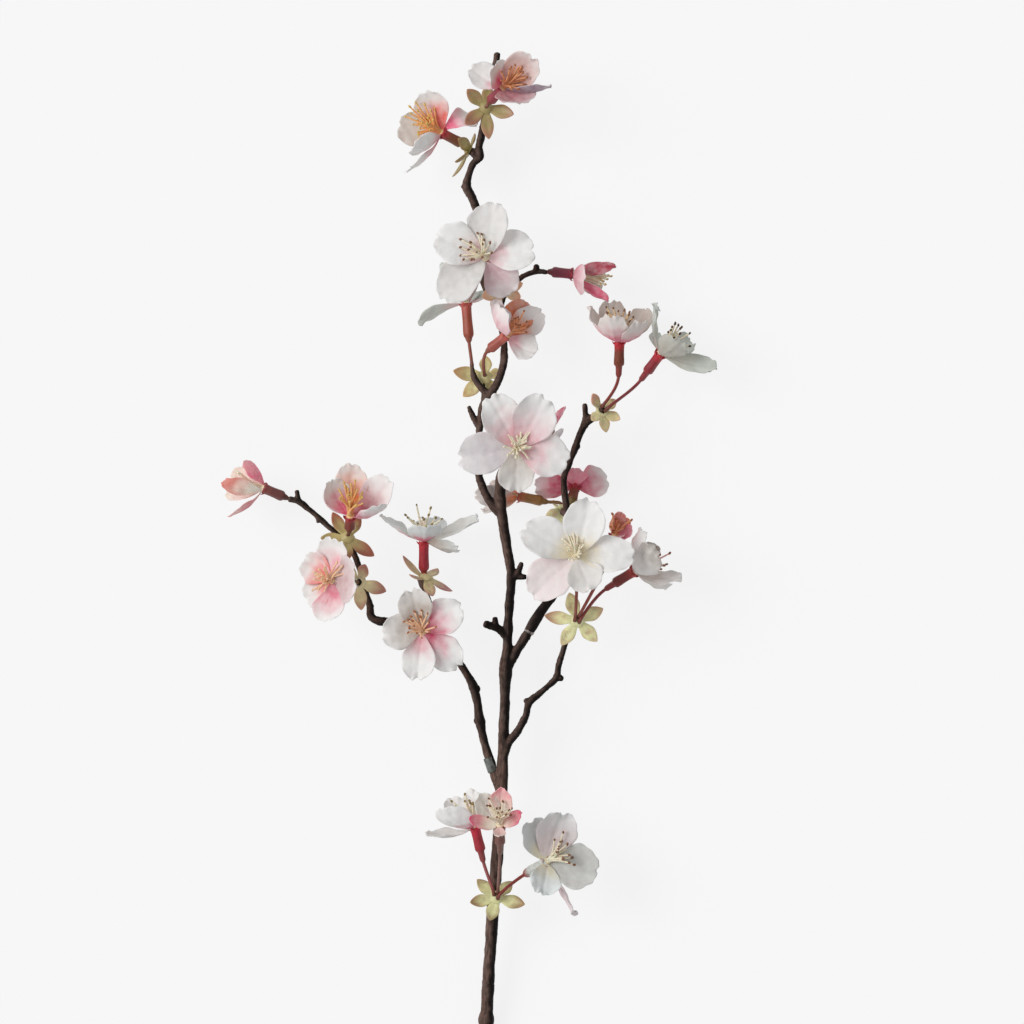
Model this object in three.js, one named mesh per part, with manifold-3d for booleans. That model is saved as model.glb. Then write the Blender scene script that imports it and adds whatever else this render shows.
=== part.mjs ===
// A cut sprig of cherry blossom, lying on a flat surface: a brown branch with two twigs plugged
// into it, green star-shaped bracts threaded on its pegs, and flowers on stalks that end in a
// calyx tube, each with a five-petalled corolla on top. Millimetres, +Z up, +Y towards the tip.
import * as THREE from "three";
import { mergeVertices } from "three/addons/utils/BufferGeometryUtils.js";
import Module from "manifold-3d";

const wasm = await Module();
wasm.setup();

// ---------------------------------------------------------------- driving dimensions, in mm
const GAP = 0.3; // between a flower and its calyx
// A petal or lobe is widest at a share of its length; cuts are its faces across and along.
const PETAL = { thick: 0.6, cup: 0.25, foot: 0.45, widest: 0.65, root: 1.0, cuts: [2, 3] };
const LOBE = { thick: 1.0, cup: 0.15, foot: 0.5, widest: 0.65, root: 2.1, belly: 0.08, cuts: [2, 2] };
const THROAT = { radius: 1.9, thick: 1.0 };
const CALYX = { rim: 1.9, flare: 0.95, neck: 1.6, belly: 2.0, collar: 1.2, body: 8, shoulder: 0.6 };
const STALK = { radius: 0.6, spread: 0.95, lift: 0.5, buried: 0.5, steps: 3 };
const HUB = { radius: 3.0, thick: 1.0 };
const PEG = { radius: 1.5, proud: 0.9, clearance: 0.5, hole: 9 };
const SIDES = { wood: 6, throat: 6, hub: 8, hole: 6, calyx: 7, stalk: 5 };
const WELD = 1e-4; // vertices closer than this are one

// Places are drawn on a sheet with this many millimetres to a step, x to the right and y down
// from its corner, and z in steps above the surface that the sprig lies on.
const SHEET = { step: 0.35, x: 470, y: 576 };

// ---------------------------------------------------------------- places and directions
// A run of wood is a list of [x, y, z, radius], all in steps.
const STEM_RUNS = {
  trunk: [
    [486, 1100, 6.6, 6.4], [486.5, 1060, 9, 6.2], [486.5, 1030, 12, 6.3], [486.5, 1019, 13, 8.4],
    [487.2, 1008, 15, 6.2], [488.2, 983, 19, 6.4], [489.7, 958, 22, 5.9], [491.5, 933, 26, 6.1],
    [493, 905, 30, 6.2], [496, 870, 35, 6.1], [500, 820, 40, 6.0], [502.5, 775, 43, 5.8],
    [503.5, 735, 44, 5.5], [505, 700, 45, 5.0], [505.7, 668, 45, 6.6], [507.5, 645, 45, 4.9],
    [508.5, 620, 45, 4.6], [510, 597, 45, 4.6], [511.3, 574, 46, 4.6], [507.5, 550, 46, 4.8],
    [503, 522, 46, 5.4], [500, 494, 46, 5.8], [502, 474, 46, 5.0], [511, 456.2, 46.4, 4.2],
  ],
  crown: [
    [500, 514, 46, 4.6], [491, 503, 46, 4.4], [484, 490, 45, 4.2], [479, 476, 44, 4.0],
    [478, 450, 44, 3.8], [481, 420, 44, 3.8], [484, 404, 45, 4.2], [493, 391, 47, 4.3],
    [502, 371, 47, 3.9], [504.5, 350, 46, 3.7], [501, 325, 44, 3.6], [494, 300, 42, 3.6],
    [484, 284, 41, 3.6], [479, 262, 42, 3.6], [478.5, 235, 45, 3.6], [478, 215, 47, 3.9],
    [472.5, 199, 47, 4.3], [467, 188, 47, 4.9], [469, 175, 47, 3.2], [474, 164, 47, 3.4],
    [480, 158, 46, 4.6], [479, 149, 45, 3.8], [481.5, 137, 43, 3.9], [484, 122, 41, 3.4],
    [488, 100, 40, 3.0], [493, 76, 41, 3.0], [496.5, 60, 43, 3.4], [497, 55, 44, 3.6],
  ],
  crook: [[490, 396, 46, 4.0], [480, 387, 45, 3.6], [474, 377, 44, 3.2], [472, 366, 43, 2.2]],
  budTwig: [
    [499, 315, 43, 3.4], [504, 297, 42, 2.9], [514, 284, 43, 2.8], [525, 276, 45, 2.8],
    [537, 272.5, 46, 2.9], [546.5, 273, 46, 2.6],
  ],
  lowTwig: [
    [503, 756, 44, 5.0], [508, 743, 45, 4.6], [518, 730, 47, 3.8], [526, 714, 49, 3.6],
    [529, 702, 50, 4.0], [538.5, 693.5, 50, 3.3], [548, 685.5, 50, 3.2], [556, 677.5, 50, 3.6],
    [558, 667, 51, 3.0], [562, 653, 52, 2.9], [566, 641, 53, 2.8], [571, 628, 54, 2.9],
  ],
  leftStub: [[502, 796, 42, 4.8], [497, 781, 42, 4.6], [492.7, 768.7, 42.2, 4.4]],
  rightStub: [[505, 672, 45, 5.2], [514, 655, 45, 4.9], [528, 632.1, 45.2, 4.8]],
};
const STEM_SPURS = [
  [[511, 580, 46, 3.6], [517, 574, 48, 3.2], [521.5, 563, 50, 2.6]],
  [[515, 576, 47, 3.0], [525.5, 577, 49, 2.6]],
  [[507, 637, 45, 3.6], [499, 629, 46, 3.4], [485.5, 623.5, 48, 3.2]],
  [[497, 629, 46, 2.8], [495, 617.5, 49, 2.6]],
  [[489, 984, 19, 3.0], [483, 981, 19, 2.4]],
  [[481, 430, 44, 3.4], [474, 419, 44, 3.4], [469, 407, 45, 2.2]],
  [[469, 190, 47, 3.0], [462.5, 187, 48, 2.4]],
  [[480, 160, 46, 3.0], [472, 154.5, 47, 2.7]],
  [[535, 273, 46, 2.4], [536.5, 266.5, 48, 2.9]],
  [[558, 677, 50, 3.0], [561.8, 678, 51, 3.0]],
  [[529, 703, 50, 3.0], [525, 699, 51, 2.8]],
];
const LEFT_RUNS = {
  arm: [
    [492.3, 767.8, 42.3, 4.5], [488, 753, 43, 4.6], [484.5, 742, 44, 4.4], [482, 731, 44, 4.4],
    [480, 721, 44, 5.3], [478, 706, 44, 4.3], [475.5, 694, 44, 4.4], [473.5, 686, 44, 5.2],
    [469, 677, 44, 4.0], [462.5, 667, 43, 3.9], [452, 653, 41, 3.8], [442, 643, 40, 4.0],
    [430, 635, 40, 3.7], [410, 627, 41, 3.5], [391, 621.5, 42, 3.8], [380, 620.5, 42, 4.6],
    [372, 617, 42, 4.2], [370.5, 606, 42, 3.3], [367, 594, 42, 3.1], [362, 576, 41, 3.0],
    [355, 555, 41, 3.0], [345, 539, 41, 3.0], [333, 530, 42, 2.9], [321, 519, 43, 2.9],
    [309, 509, 44, 2.9], [300, 502, 45, 3.4], [290.2, 499.1, 46, 3.2],
  ],
  finger: [
    [442, 644, 40, 3.6], [437, 628, 39, 3.2], [432, 609, 38, 2.9], [427, 594, 38, 2.8],
    [419, 578, 38, 2.5],
  ],
};
const LEFT_SPURS = [
  [[436, 639, 40, 2.8], [434, 637, 47, 2.6]],
  [[300, 502, 45, 2.6], [297.5, 491, 47, 2.8]],
  [[322, 520, 43, 2.4], [317.5, 521, 43, 2.0]],
  [[479, 688, 44, 3.0], [470, 688, 46, 2.6]],
  [[482, 722, 44, 3.0], [474.5, 720, 45, 2.6]],
];
const RIGHT_RUNS = {
  arm: [
    [528.5, 631.3, 45.3, 4.9], [536, 619, 46, 4.9], [546, 604, 46, 4.6], [555, 592, 45, 4.4],
    [562, 576, 42, 4.2], [566, 556, 40, 4.0], [568, 535, 40, 3.8], [567, 515, 42, 3.7],
    [565, 495, 45, 3.6], [564, 478, 46, 3.3], [570, 461, 46, 3.2], [575, 448, 46, 3.6],
    [580, 434, 46, 3.5], [585.5, 421.5, 46, 4.0], [585, 412, 46, 3.1], [584.5, 405, 46, 2.7],
  ],
};
const RIGHT_SPURS = [
  [[585, 423, 46, 3.4], [591, 418.5, 47, 3.2], [597, 415.5, 48, 2.8]],
  [[575, 448, 46, 3.0], [579.5, 446.5, 46, 2.2]],
];

// Each bract: its hub, the way it faces, the path of its peg from inside the wood to behind the
// hub, and for each lobe its tip's place and its width, in steps.
const BRACTS = {
  top: {
    at: [486, 109, 54], faces: [0.1, 0.1, 0.98], peg: [[485, 114, 40]],
    lobes: [
      [467, 91, 60, 16], [489, 86, 57, 14], [514, 116, 60, 17], [489, 141, 60, 15],
      [465, 126, 67, 16],
    ],
  },
  top_left: {
    at: [469, 150.5, 40], faces: [-0.84, 0.45, 0.2], peg: [[476, 156, 45]],
    lobes: [
      [452, 178, 34, 14], [475, 134, 40, 14], [458, 140, 62, 15], [455, 163, 60, 15],
      [466, 156, 14, 14],
    ],
  },
  crown: {
    at: [501, 292, 53], faces: [0.05, -0.2, 0.97], peg: [[496, 300, 42]],
    lobes: [
      [482, 298, 58, 15], [493, 312, 52, 14], [521, 298, 57, 14], [523, 284, 56, 14],
      [509, 271, 54, 14],
    ],
  },
  crook: {
    at: [485, 377, 36], faces: [-0.05, 0.3, 0.95], peg: [[485, 404, 44], [486, 396, 31]],
    lobes: [
      [453, 371, 37, 18], [463, 397, 37, 17], [486, 356, 38, 15], [503, 372, 36, 14],
      [496, 395, 34, 14],
    ],
  },
  right: {
    at: [602, 410.5, 53], faces: [0.35, 0.42, 0.84], peg: [[596, 416, 47.5]],
    lobes: [
      [592, 394, 60, 14], [620, 420, 56, 15], [606, 433, 56, 14], [591, 421, 58, 12],
      [616, 400, 52, 13],
    ],
  },
  right_back: {
    at: [564, 509, 31], faces: [0.1, 0.75, -0.65], peg: [[567, 513, 41]],
    lobes: [
      [545, 518, 29, 17], [588, 499, 28, 15], [562, 524, 12, 15], [554, 500, 8, 14],
      [580, 510, 12, 14],
    ],
  },
  low_right: {
    at: [577, 620, 60], faces: [0.05, 0.15, 0.98], peg: [[572, 628, 54]],
    lobes: [
      [569, 592, 59, 17], [544, 615, 62, 16], [561, 645, 62, 16], [597, 641, 60, 17],
      [603, 608, 54, 17],
    ],
  },
  left_high: {
    at: [348, 537, 50], faces: [0.12, 0.45, 0.88], peg: [[347, 541, 41]],
    lobes: [
      [333, 512, 50, 15], [361, 516, 52, 14], [375, 556, 55, 17], [347, 561, 60, 15],
      [321, 538, 58, 15],
    ],
  },
  left_mid: {
    at: [359, 582, 49], faces: [-0.3, 0.1, 0.94], peg: [[363, 580, 41]],
    lobes: [
      [366, 564, 58, 15], [387, 591, 56, 16], [362, 610, 54, 16], [340, 602, 44, 14],
      [343, 563, 46, 14],
    ],
  },
  left_inner: {
    at: [426, 577, 43], faces: [0.05, 0.9, 0.4], peg: [[423, 586, 38]],
    lobes: [
      [403, 555, 42, 13], [410, 574, 62, 14], [433, 596, 62, 14], [453, 591, 46, 15],
      [438, 568, 18, 14],
    ],
  },
  base: {
    at: [496.5, 896, 49], faces: [0, 0.35, 0.93], peg: [[494.5, 903, 31]],
    lobes: [
      [470, 901, 55, 16], [490, 919, 57, 16], [525, 903, 55, 17], [477, 878, 47, 15],
      [512, 880, 43, 15],
    ],
  },
};

// Each flower: the middle of its throat, the way it faces, the length of its calyx in mm, what
// carries it (a bract, with the bearing of its place on the peg, or the end of a twig), how
// far its petals belly out as a share of their length, and its petals. A petal has its tip's
// place and its width in steps, then how strongly its inner side turns up from the way the
// flower faces, or down where that is negative, and its own belly where it differs.
const FLOWERS = {
  top_right: {
    at: [503, 90, 79], faces: [0.5, 0.5, 0.7], calyx: 9, on: "top", belly: 0.1,
    petals: [
      [534, 60, 104, 37, 0.5], [552, 88, 90, 32, -0.6], [470, 70, 74, 34, 0.4],
      [494, 68, 96, 36, 0.2], [524, 106, 104, 46, 0.2],
    ],
  },
  top_left: {
    at: [442, 134, 47], faces: [-0.86, 0.45, 0.2], calyx: 8.4, on: "top_left", belly: 0.1,
    petals: [
      [424, 93, 56, 40, 1], [398, 126, 34, 38, 1.2], [411, 152, 76, 34, -0.2],
      [404, 174, 42, 26, -0.2], [477, 124, 40, 30, 0.5, -0.18],
    ],
  },
  crown: {
    at: [486, 259, 82], faces: [-0.35, 0.3, 0.88], calyx: 8.5, on: "crown", belly: -0.06,
    petals: [
      [496, 204, 92, 44], [435, 238, 84, 44], [443, 302, 90, 46], [513, 295, 78, 38],
      [535, 252, 94, 46],
    ],
  },
  right_bud: {
    at: [573, 275, 47.5], faces: [0.98, -0.1, 0.08], calyx: 7.8, from: [549, 273, 46], belly: 0.06,
    petals: [
      [615, 267, 60, 19, -0.1], [584, 284, 74, 32], [609, 301, 60, 20, -0.1], [602, 290, 24, 24],
      [606, 272, 26, 22],
    ],
  },
  crown_low: {
    at: [507, 336, 62], faces: [0.74, 0.6, 0.3], calyx: 8.4, on: "crook", belly: 0.12,
    petals: [
      [497, 300, 72, 32, -0.8], [527, 302, 42, 33, 1], [543, 312, 44, 32, 0.6],
      [536, 354, 64, 34, 0.9], [503, 308, 90, 36, -0.4, 0.22],
    ],
  },
  crown_back: {
    at: [466, 304, 38], faces: [-0.08, 0.98, -0.1], calyx: 11, from: [472, 365, 43], belly: 0.08,
    petals: [
      [419, 326, 34, 22, -0.4, -0.1], [444, 262, 52, 30], [470, 258, 22, 28], [496, 286, 14, 28],
      [466, 290, 2, 28],
    ],
  },
  right_cup: {
    at: [619, 342, 48], faces: [0.02, 0.97, 0.25], calyx: 11.5, on: "right", bearing: 130, belly: 0.16,
    petals: [
      [589, 306, 54, 28], [611, 316, 84, 34], [641, 322, 80, 32], [646, 308, 26, 32],
      [610, 300, 20, 32],
    ],
  },
  right_outer: {
    at: [660, 354, 50], faces: [0.55, 0.74, 0.4], calyx: 11.5, on: "right", bearing: 310, belly: 0.08,
    petals: [
      [655, 303, 46, 28, -0.4], [680, 341, 86, 32, -0.3], [717, 368, 56, 22, 1],
      [690, 338, 12, 32], [664, 336, 2, 32],
    ],
  },
  centre: {
    at: [517, 449, 86], faces: [0.1, 0.12, 0.98], calyx: 9, from: [512.5, 454.5, 47], belly: -0.05,
    petals: [
      [489, 396, 96, 42], [546, 397, 98, 46], [569, 463, 90, 44], [515, 493, 92, 38],
      [458, 459, 90, 44],
    ],
  },
  centre_bud: {
    at: [541, 446, 44], faces: [0.62, 0.74, 0.22], calyx: 8, from: [513, 465, 46], belly: 0.1,
    petals: [
      [565, 407, 54, 8, -0.3], [563, 429, 54, 8, -0.3], [548, 412, 26, 20], [536, 408, 40, 20],
      [560, 440, 26, 18],
    ],
  },
  right_back: {
    at: [575, 487, 19], faces: [0.2, 0.8, -0.55], calyx: 6, on: "right_back", bearing: 0, belly: 0.05,
    petals: [
      [534, 487, 24, 31, -1], [608, 479, 22, 38, -1], [600, 476, 11.5, 30], [558, 472, 11.5, 28],
      [574, 468, 34, 26],
    ],
  },
  stem_back: {
    at: [518, 496, 21], faces: [-0.97, 0.2, -0.1], calyx: 9.4, on: "right_back", bearing: 180, belly: 0.1,
    petals: [
      [474, 494, 34, 24], [481, 511, 25, 22, 0.4], [484, 504, 9, 22], [488, 486, 10, 22],
      [495, 480, 28, 24],
    ],
  },
  middle: {
    at: [576, 556, 90], faces: [-0.03, 0.3, 0.95], calyx: 9, on: "low_right", bearing: 190, belly: -0.05,
    petals: [
      [590, 499, 100, 44], [522, 527, 98, 44], [531, 596, 96, 46], [590, 591, 102, 38],
      [635, 555, 96, 40],
    ],
  },
  small_bud: {
    at: [615, 534, 60], faces: [0.2, 0.75, 0.6], calyx: 7, on: "low_right", bearing: 70, belly: 0.12,
    petals: [
      [613, 518, 72, 14], [621, 512, 62, 15], [629, 519, 62, 14], [632, 529, 72, 18, 0.8],
      [621, 536, 76, 12, 0.5],
    ],
  },
  low_right: {
    at: [634, 571, 58], faces: [0.8, 0.5, 0.33], calyx: 11.5, on: "low_right", bearing: 310, belly: 0.1,
    petals: [
      [642, 529, 72, 36, -0.4], [658, 546, 36, 28], [670, 584, 22, 20], [682, 577, 62, 20, 0.4],
      [657, 550, 92, 36, -0.3],
    ],
  },
  left_bud: {
    at: [264, 488, 49], faces: [-0.9, 0.38, 0.12], calyx: 8.2, from: [289, 498.8, 46], belly: 0.08,
    petals: [
      [245, 461, 60, 18, -0.3], [223, 483, 62, 22, -0.2], [229, 517, 44, 20, -0.25],
      [232, 472, 30, 22], [226, 494, 28, 22],
    ],
  },
  left_high: {
    at: [351, 516, 70], faces: [0.05, 0.75, 0.66], calyx: 6.3, on: "left_high", belly: 0.14,
    petals: [
      [352, 463, 62, 35, 0.5], [331, 480, 76, 32, 0.3], [391, 479, 76, 38, 0.5],
      [384, 504, 100, 28, -0.6], [327, 488, 58, 24, 0.3],
    ],
  },
  left_mid: {
    at: [333, 580, 70], faces: [-0.75, 0.03, 0.66], calyx: 8, on: "left_mid", belly: 0.12,
    petals: [
      [333, 537, 80, 40, 0.3], [303, 560, 56, 36, 0.3], [306, 600, 54, 36, 0.3],
      [328, 621, 80, 42, 0.3], [357, 579, 106, 50, 0.3],
    ],
  },
  left_inner: {
    at: [424, 541, 50], faces: [0, 0.97, 0.22], calyx: 8.5, on: "left_inner", belly: 0.05,
    petals: [
      [380, 515, 48, 30, -0.1], [427, 526, 88, 36], [459, 549, 74, 24, -1.1],
      [479, 517, 44, 28, 0.2], [436, 517, 1.5, 32],
    ],
  },
  left_front: {
    at: [423, 631, 74], faces: [-0.1, 0.2, 0.97], calyx: 8.5, from: [434, 637, 47], belly: -0.05,
    petals: [
      [411, 588, 86, 36], [463, 606, 84, 38], [460, 667, 80, 38], [417, 680, 82, 36],
      [382, 634, 84, 38],
    ],
  },
  base_left: {
    at: [475, 826, 56], faces: [-0.23, 0.95, 0.2], calyx: 11.5, on: "base", bearing: 150, belly: 0.12,
    petals: [
      [443, 806, 90, 40, -0.3], [426, 832, 60, 30, 0.1], [450, 797, 30, 32], [470, 790, 14, 30],
      [486, 812, 1.5, 30],
    ],
  },
  base_centre: {
    at: [500, 823, 80], faces: [0, 0.75, 0.66], calyx: 12.5, on: "base", bearing: 60, belly: 0.1,
    petals: [
      [501, 787, 84, 24, 1], [480, 793, 84, 26, 1], [470, 817, 98, 16, 1],
      [499, 833, 112, 13, 0.5], [521, 811, 98, 15, 1],
    ],
  },
  base_right: {
    at: [547, 860, 58], faces: [0.75, 0.45, 0.5], calyx: 9, on: "base", bearing: 300, belly: 0.04,
    petals: [
      [529, 818, 72, 42, 1.5], [562, 810, 63, 48, 1.5], [599, 869, 69, 48, 1.5],
      [576, 915, 47, 22, -0.4], [540, 893, 70, 33, 1.5, -0.1],
    ],
  },
};

const COLOURS = {
  bark: { color: 0x4a3a33, roughness: 0.7 },
  bract: { color: 0xb9ba7c, roughness: 0.55 },
  calyx: { color: 0x8f4038, roughness: 0.5 },
  petal: { color: 0xe6dfdd, roughness: 0.85, side: THREE.DoubleSide },
};

// ---------------------------------------------------------------- solids and meshes
// A closed geometry as a solid that can be joined and cut.
function solidOf(geometry) {
  const bare = geometry.clone();
  bare.deleteAttribute("normal");
  bare.deleteAttribute("uv");
  const merged = mergeVertices(bare, WELD);
  return new wasm.Manifold(
    new wasm.Mesh({
      numProp: 3,
      vertProperties: merged.attributes.position.array,
      triVerts: new Uint32Array(merged.index.array),
    }),
  );
}

function joined(geometries) {
  return geometries.map(solidOf).reduce((whole, piece) => whole.add(piece));
}

function meshOf(name, solid, look) {
  const { numProp, numVert, vertProperties, triVerts } = solid.getMesh();
  const positions = new Float32Array(numVert * 3);
  for (let i = 0; i < numVert; i++) {
    positions.set(vertProperties.subarray(i * numProp, i * numProp + 3), i * 3);
  }
  const geometry = new THREE.BufferGeometry();
  geometry.setAttribute("position", new THREE.BufferAttribute(positions, 3));
  geometry.setIndex(new THREE.BufferAttribute(triVerts, 1));
  geometry.computeVertexNormals();
  const mesh = new THREE.Mesh(geometry, new THREE.MeshStandardMaterial(look));
  mesh.name = name;
  return mesh;
}

// A place on the sheet, in mm.
function place([x, y, z]) {
  return new THREE.Vector3(x - SHEET.x, SHEET.y - y, z).multiplyScalar(SHEET.step);
}

const UP = new THREE.Vector3(0, 0, 1);

// The frame of something that faces a given way: the smallest turn that takes +Z there.
function turnTo(faces) {
  const way = new THREE.Vector3(...faces).normalize();
  return { way, turn: new THREE.Quaternion().setFromUnitVectors(UP, way) };
}

// Moves every vertex of a geometry to where the function puts it.
function reshaped(geometry, move) {
  const position = geometry.attributes.position;
  const point = new THREE.Vector3();
  for (let i = 0; i < position.count; i++) {
    point.copy(move(point.fromBufferAttribute(position, i)));
    position.setXYZ(i, point.x, point.y, point.z);
  }
  return geometry;
}

// ---------------------------------------------------------------- wood
// A round bar along a curve: a unit cylinder bent along it, with its own radius at each point.
function bentBar(points, radii, sides, steps) {
  const curve = new THREE.CatmullRomCurve3(points, false, "centripetal");
  const frames = curve.computeFrenetFrames(steps, false);
  return reshaped(new THREE.CylinderGeometry(1, 1, 1, sides, steps), ({ x, y, z }) => {
    const at = Math.round((y + 0.5) * steps);
    const along = (at / steps) * (radii.length - 1);
    const low = Math.min(Math.floor(along), radii.length - 2);
    const radius = THREE.MathUtils.lerp(radii[low], radii[low + 1], along - low);
    return curve
      .getPoint(at / steps)
      .addScaledVector(frames.normals[at], x * radius)
      .addScaledVector(frames.binormals[at], -z * radius);
  });
}

function woodBar(run) {
  const radii = run.map(([, , , radius]) => radius * SHEET.step);
  return bentBar(run.map(place), radii, SIDES.wood, run.length - 1);
}

// The peg that a bract is threaded on, from inside the wood to just past the bract.
function pegOf({ at, faces, peg }) {
  const { way } = turnTo(faces);
  const top = place(at).addScaledVector(way, HUB.thick / 2 + PEG.proud);
  const neck = place(at).addScaledVector(way, -HUB.thick / 2 - PEG.proud);
  const path = [...peg.map(place), neck, top];
  return bentBar(path, [PEG.radius, PEG.radius], SIDES.wood, path.length - 1);
}

function wood(name, runs, spurs, bractNames) {
  const bars = [...Object.values(runs), ...spurs].map(woodBar);
  const pegs = bractNames.map((bract) => pegOf(BRACTS[bract]));
  return meshOf(name, joined([...bars, ...pegs]), COLOURS.bark);
}

// ---------------------------------------------------------------- petals and bracts
// A petal or lobe, about its hub: a slab bent into an egg outline from the hub to its tip. Its
// inner side faces the way the flower does, as far as its own direction allows, its middle
// bellies out from that side, and its edges turn in.
function blade({ tip, faces, width, turn = 0, belly, thick, cup, foot, widest, root, cuts }) {
  const start = tip.clone().addScaledVector(faces, -faces.dot(tip)).setLength(root);
  const outward = tip.clone().sub(start);
  const length = outward.length();
  outward.normalize();
  const inner = faces.clone().addScaledVector(UP, turn);
  inner.addScaledVector(outward, -inner.dot(outward)).normalize();
  const side = new THREE.Vector3().crossVectors(outward, inner);
  return reshaped(new THREE.BoxGeometry(2, 2, 1, ...cuts, 1), ({ x, y, z }) => {
    const share = (y * Math.sqrt(1 - (x * x) / 2) + 1) / 2;
    const swell = THREE.MathUtils.lerp(foot, 1, THREE.MathUtils.smoothstep(share, 0, widest));
    const sideways = (x * Math.sqrt(1 - (y * y) / 2) * swell * width) / 2;
    const sag = 4 * belly * length * share * (1 - share);
    const edge = (cup * 2 * sideways * sideways) / width;
    return start
      .clone()
      .addScaledVector(side, sideways)
      .addScaledVector(outward, length * share)
      .addScaledVector(inner, edge - sag + z * thick);
  });
}

// All the blades of a flower or bract, about its hub.
function bladesOf(at, faces, blades, shape) {
  const { way } = turnTo(faces);
  return blades.map(([x, y, z, broad, turn, belly = shape.belly]) => {
    const tip = place([x, y, z]).sub(place(at));
    const width = broad * SHEET.step;
    return blade({ ...shape, tip, faces: way, width, turn, belly });
  });
}

function disc(radius, thick, sides, faces) {
  return new THREE.CylinderGeometry(radius, radius, thick, sides)
    .rotateX(Math.PI / 2)
    .applyQuaternion(turnTo(faces).turn);
}

function corolla(name, { at, faces, petals, belly }) {
  const blades = bladesOf(at, faces, petals, { ...PETAL, belly });
  const throat = disc(THROAT.radius, THROAT.thick, SIDES.throat, faces);
  const mesh = meshOf("petals_" + name, joined([throat, ...blades]), COLOURS.petal);
  mesh.position.copy(place(at));
  return mesh;
}

function bract(name, { at, faces, lobes }) {
  const blades = bladesOf(at, faces, lobes, LOBE);
  const hub = disc(HUB.radius, HUB.thick, SIDES.hub, faces);
  const hole = disc(PEG.radius + PEG.clearance, PEG.hole, SIDES.hole, faces);
  const solid = joined([hub, ...blades]).subtract(solidOf(hole));
  const mesh = meshOf("bract_" + name, solid, COLOURS.bract);
  mesh.position.copy(place(at));
  return mesh;
}

// ---------------------------------------------------------------- calyx and stalk
// The tube under a flower: a rim, a belly and a narrow collar, turned about its axis.
function calyxTube(length) {
  const { rim, flare, neck, belly, collar, body, shoulder } = CALYX;
  const bodyEnd = -Math.min(body, length - 2 * shoulder);
  const profile = [
    [0, -length], [collar, -length], [collar, bodyEnd - shoulder], [belly, bodyEnd + shoulder],
    [neck, -flare], [rim, 0], [0, 0],
  ];
  return new THREE.LatheGeometry(profile.map(([r, y]) => new THREE.Vector2(r, y)), SIDES.calyx)
    .rotateX(Math.PI / 2);
}

// Where a flower's stalk ends on what carries it, and the way it leaves from there.
function seatOf({ on, bearing, from, faces }) {
  if (from) {
    const away = turnTo(faces).way;
    return { seat: place(from).addScaledVector(away, STALK.lift), away };
  }
  const { way, turn } = turnTo(BRACTS[on].faces);
  const seat = place(BRACTS[on].at).addScaledVector(way, HUB.thick / 2 + PEG.proud + STALK.lift);
  if (bearing !== undefined) {
    const angle = THREE.MathUtils.degToRad(bearing);
    const offset = new THREE.Vector3(Math.cos(angle), Math.sin(angle), 0);
    seat.addScaledVector(offset.applyQuaternion(turn), STALK.spread);
  }
  return { seat, away: way };
}

function stalk(name, flower) {
  const { way, turn } = turnTo(flower.faces);
  const top = place(flower.at).addScaledVector(way, -THROAT.thick / 2 - GAP);
  const bottom = top.clone().addScaledVector(way, STALK.buried - flower.calyx);
  const { seat, away } = seatOf(flower);
  const reach = bottom.distanceTo(seat) / 3;
  const route = new THREE.CubicBezierCurve3(
    seat,
    seat.clone().addScaledVector(away, reach),
    bottom.clone().addScaledVector(way, -reach),
    bottom,
  ).getPoints(STALK.steps);
  const tube = calyxTube(flower.calyx).applyQuaternion(turn).translate(top.x, top.y, top.z);
  const wire = bentBar(route, [STALK.radius, STALK.radius], SIDES.stalk, STALK.steps);
  return meshOf("calyx_" + name, joined([tube, wire]), COLOURS.calyx);
}

// ---------------------------------------------------------------- the sprig
const sprig = new THREE.Group();
const stemBracts = ["top", "top_left", "crown", "crook", "low_right", "base"];
sprig.add(wood("main_stem", STEM_RUNS, STEM_SPURS, stemBracts));
sprig.add(wood("left_twig", LEFT_RUNS, LEFT_SPURS, ["left_high", "left_mid", "left_inner"]));
sprig.add(wood("right_twig", RIGHT_RUNS, RIGHT_SPURS, ["right", "right_back"]));
for (const [name, shape] of Object.entries(BRACTS)) {
  sprig.add(bract(name, shape));
}
for (const [name, flower] of Object.entries(FLOWERS)) {
  sprig.add(stalk(name, flower), corolla(name, flower));
}

export default sprig;
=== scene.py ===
# A cut sprig of artificial cherry blossom that lies on a pale table: a moulded brown branch with
# two twigs plugged into it, waxy green bracts threaded on its pegs, and flowers on wire stalks,
# each with a moulded calyx, a corolla of die-cut white cloth airbrushed pink, and moulded
# stamens. Metres, +Z up, +Y towards the tip.
import math
import random

import bmesh
import bpy
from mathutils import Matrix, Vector, kdtree, noise


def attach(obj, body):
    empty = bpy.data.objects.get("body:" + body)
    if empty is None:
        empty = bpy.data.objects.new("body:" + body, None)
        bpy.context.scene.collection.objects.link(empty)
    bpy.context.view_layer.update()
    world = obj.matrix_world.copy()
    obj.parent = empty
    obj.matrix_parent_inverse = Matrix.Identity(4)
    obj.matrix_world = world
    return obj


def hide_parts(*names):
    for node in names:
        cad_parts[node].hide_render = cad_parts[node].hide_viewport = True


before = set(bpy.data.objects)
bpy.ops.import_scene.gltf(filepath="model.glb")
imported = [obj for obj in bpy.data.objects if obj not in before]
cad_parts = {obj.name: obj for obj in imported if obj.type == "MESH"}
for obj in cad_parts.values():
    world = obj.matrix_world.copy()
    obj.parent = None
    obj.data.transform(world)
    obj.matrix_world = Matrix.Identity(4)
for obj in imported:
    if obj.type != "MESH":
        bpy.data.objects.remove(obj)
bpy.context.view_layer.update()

# ---------------------------------------------------------------- layout
# Places are drawn on a sheet with STEP metres to a step, x to the right and y down from its
# corner, and z in steps above the table.
STEP = 0.00035
MM = 0.001
# The place on the sheet that lies at the frame's origin.
SHEET_X, SHEET_Y = 470, 576
UP = Vector((0, 0, 1))
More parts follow.
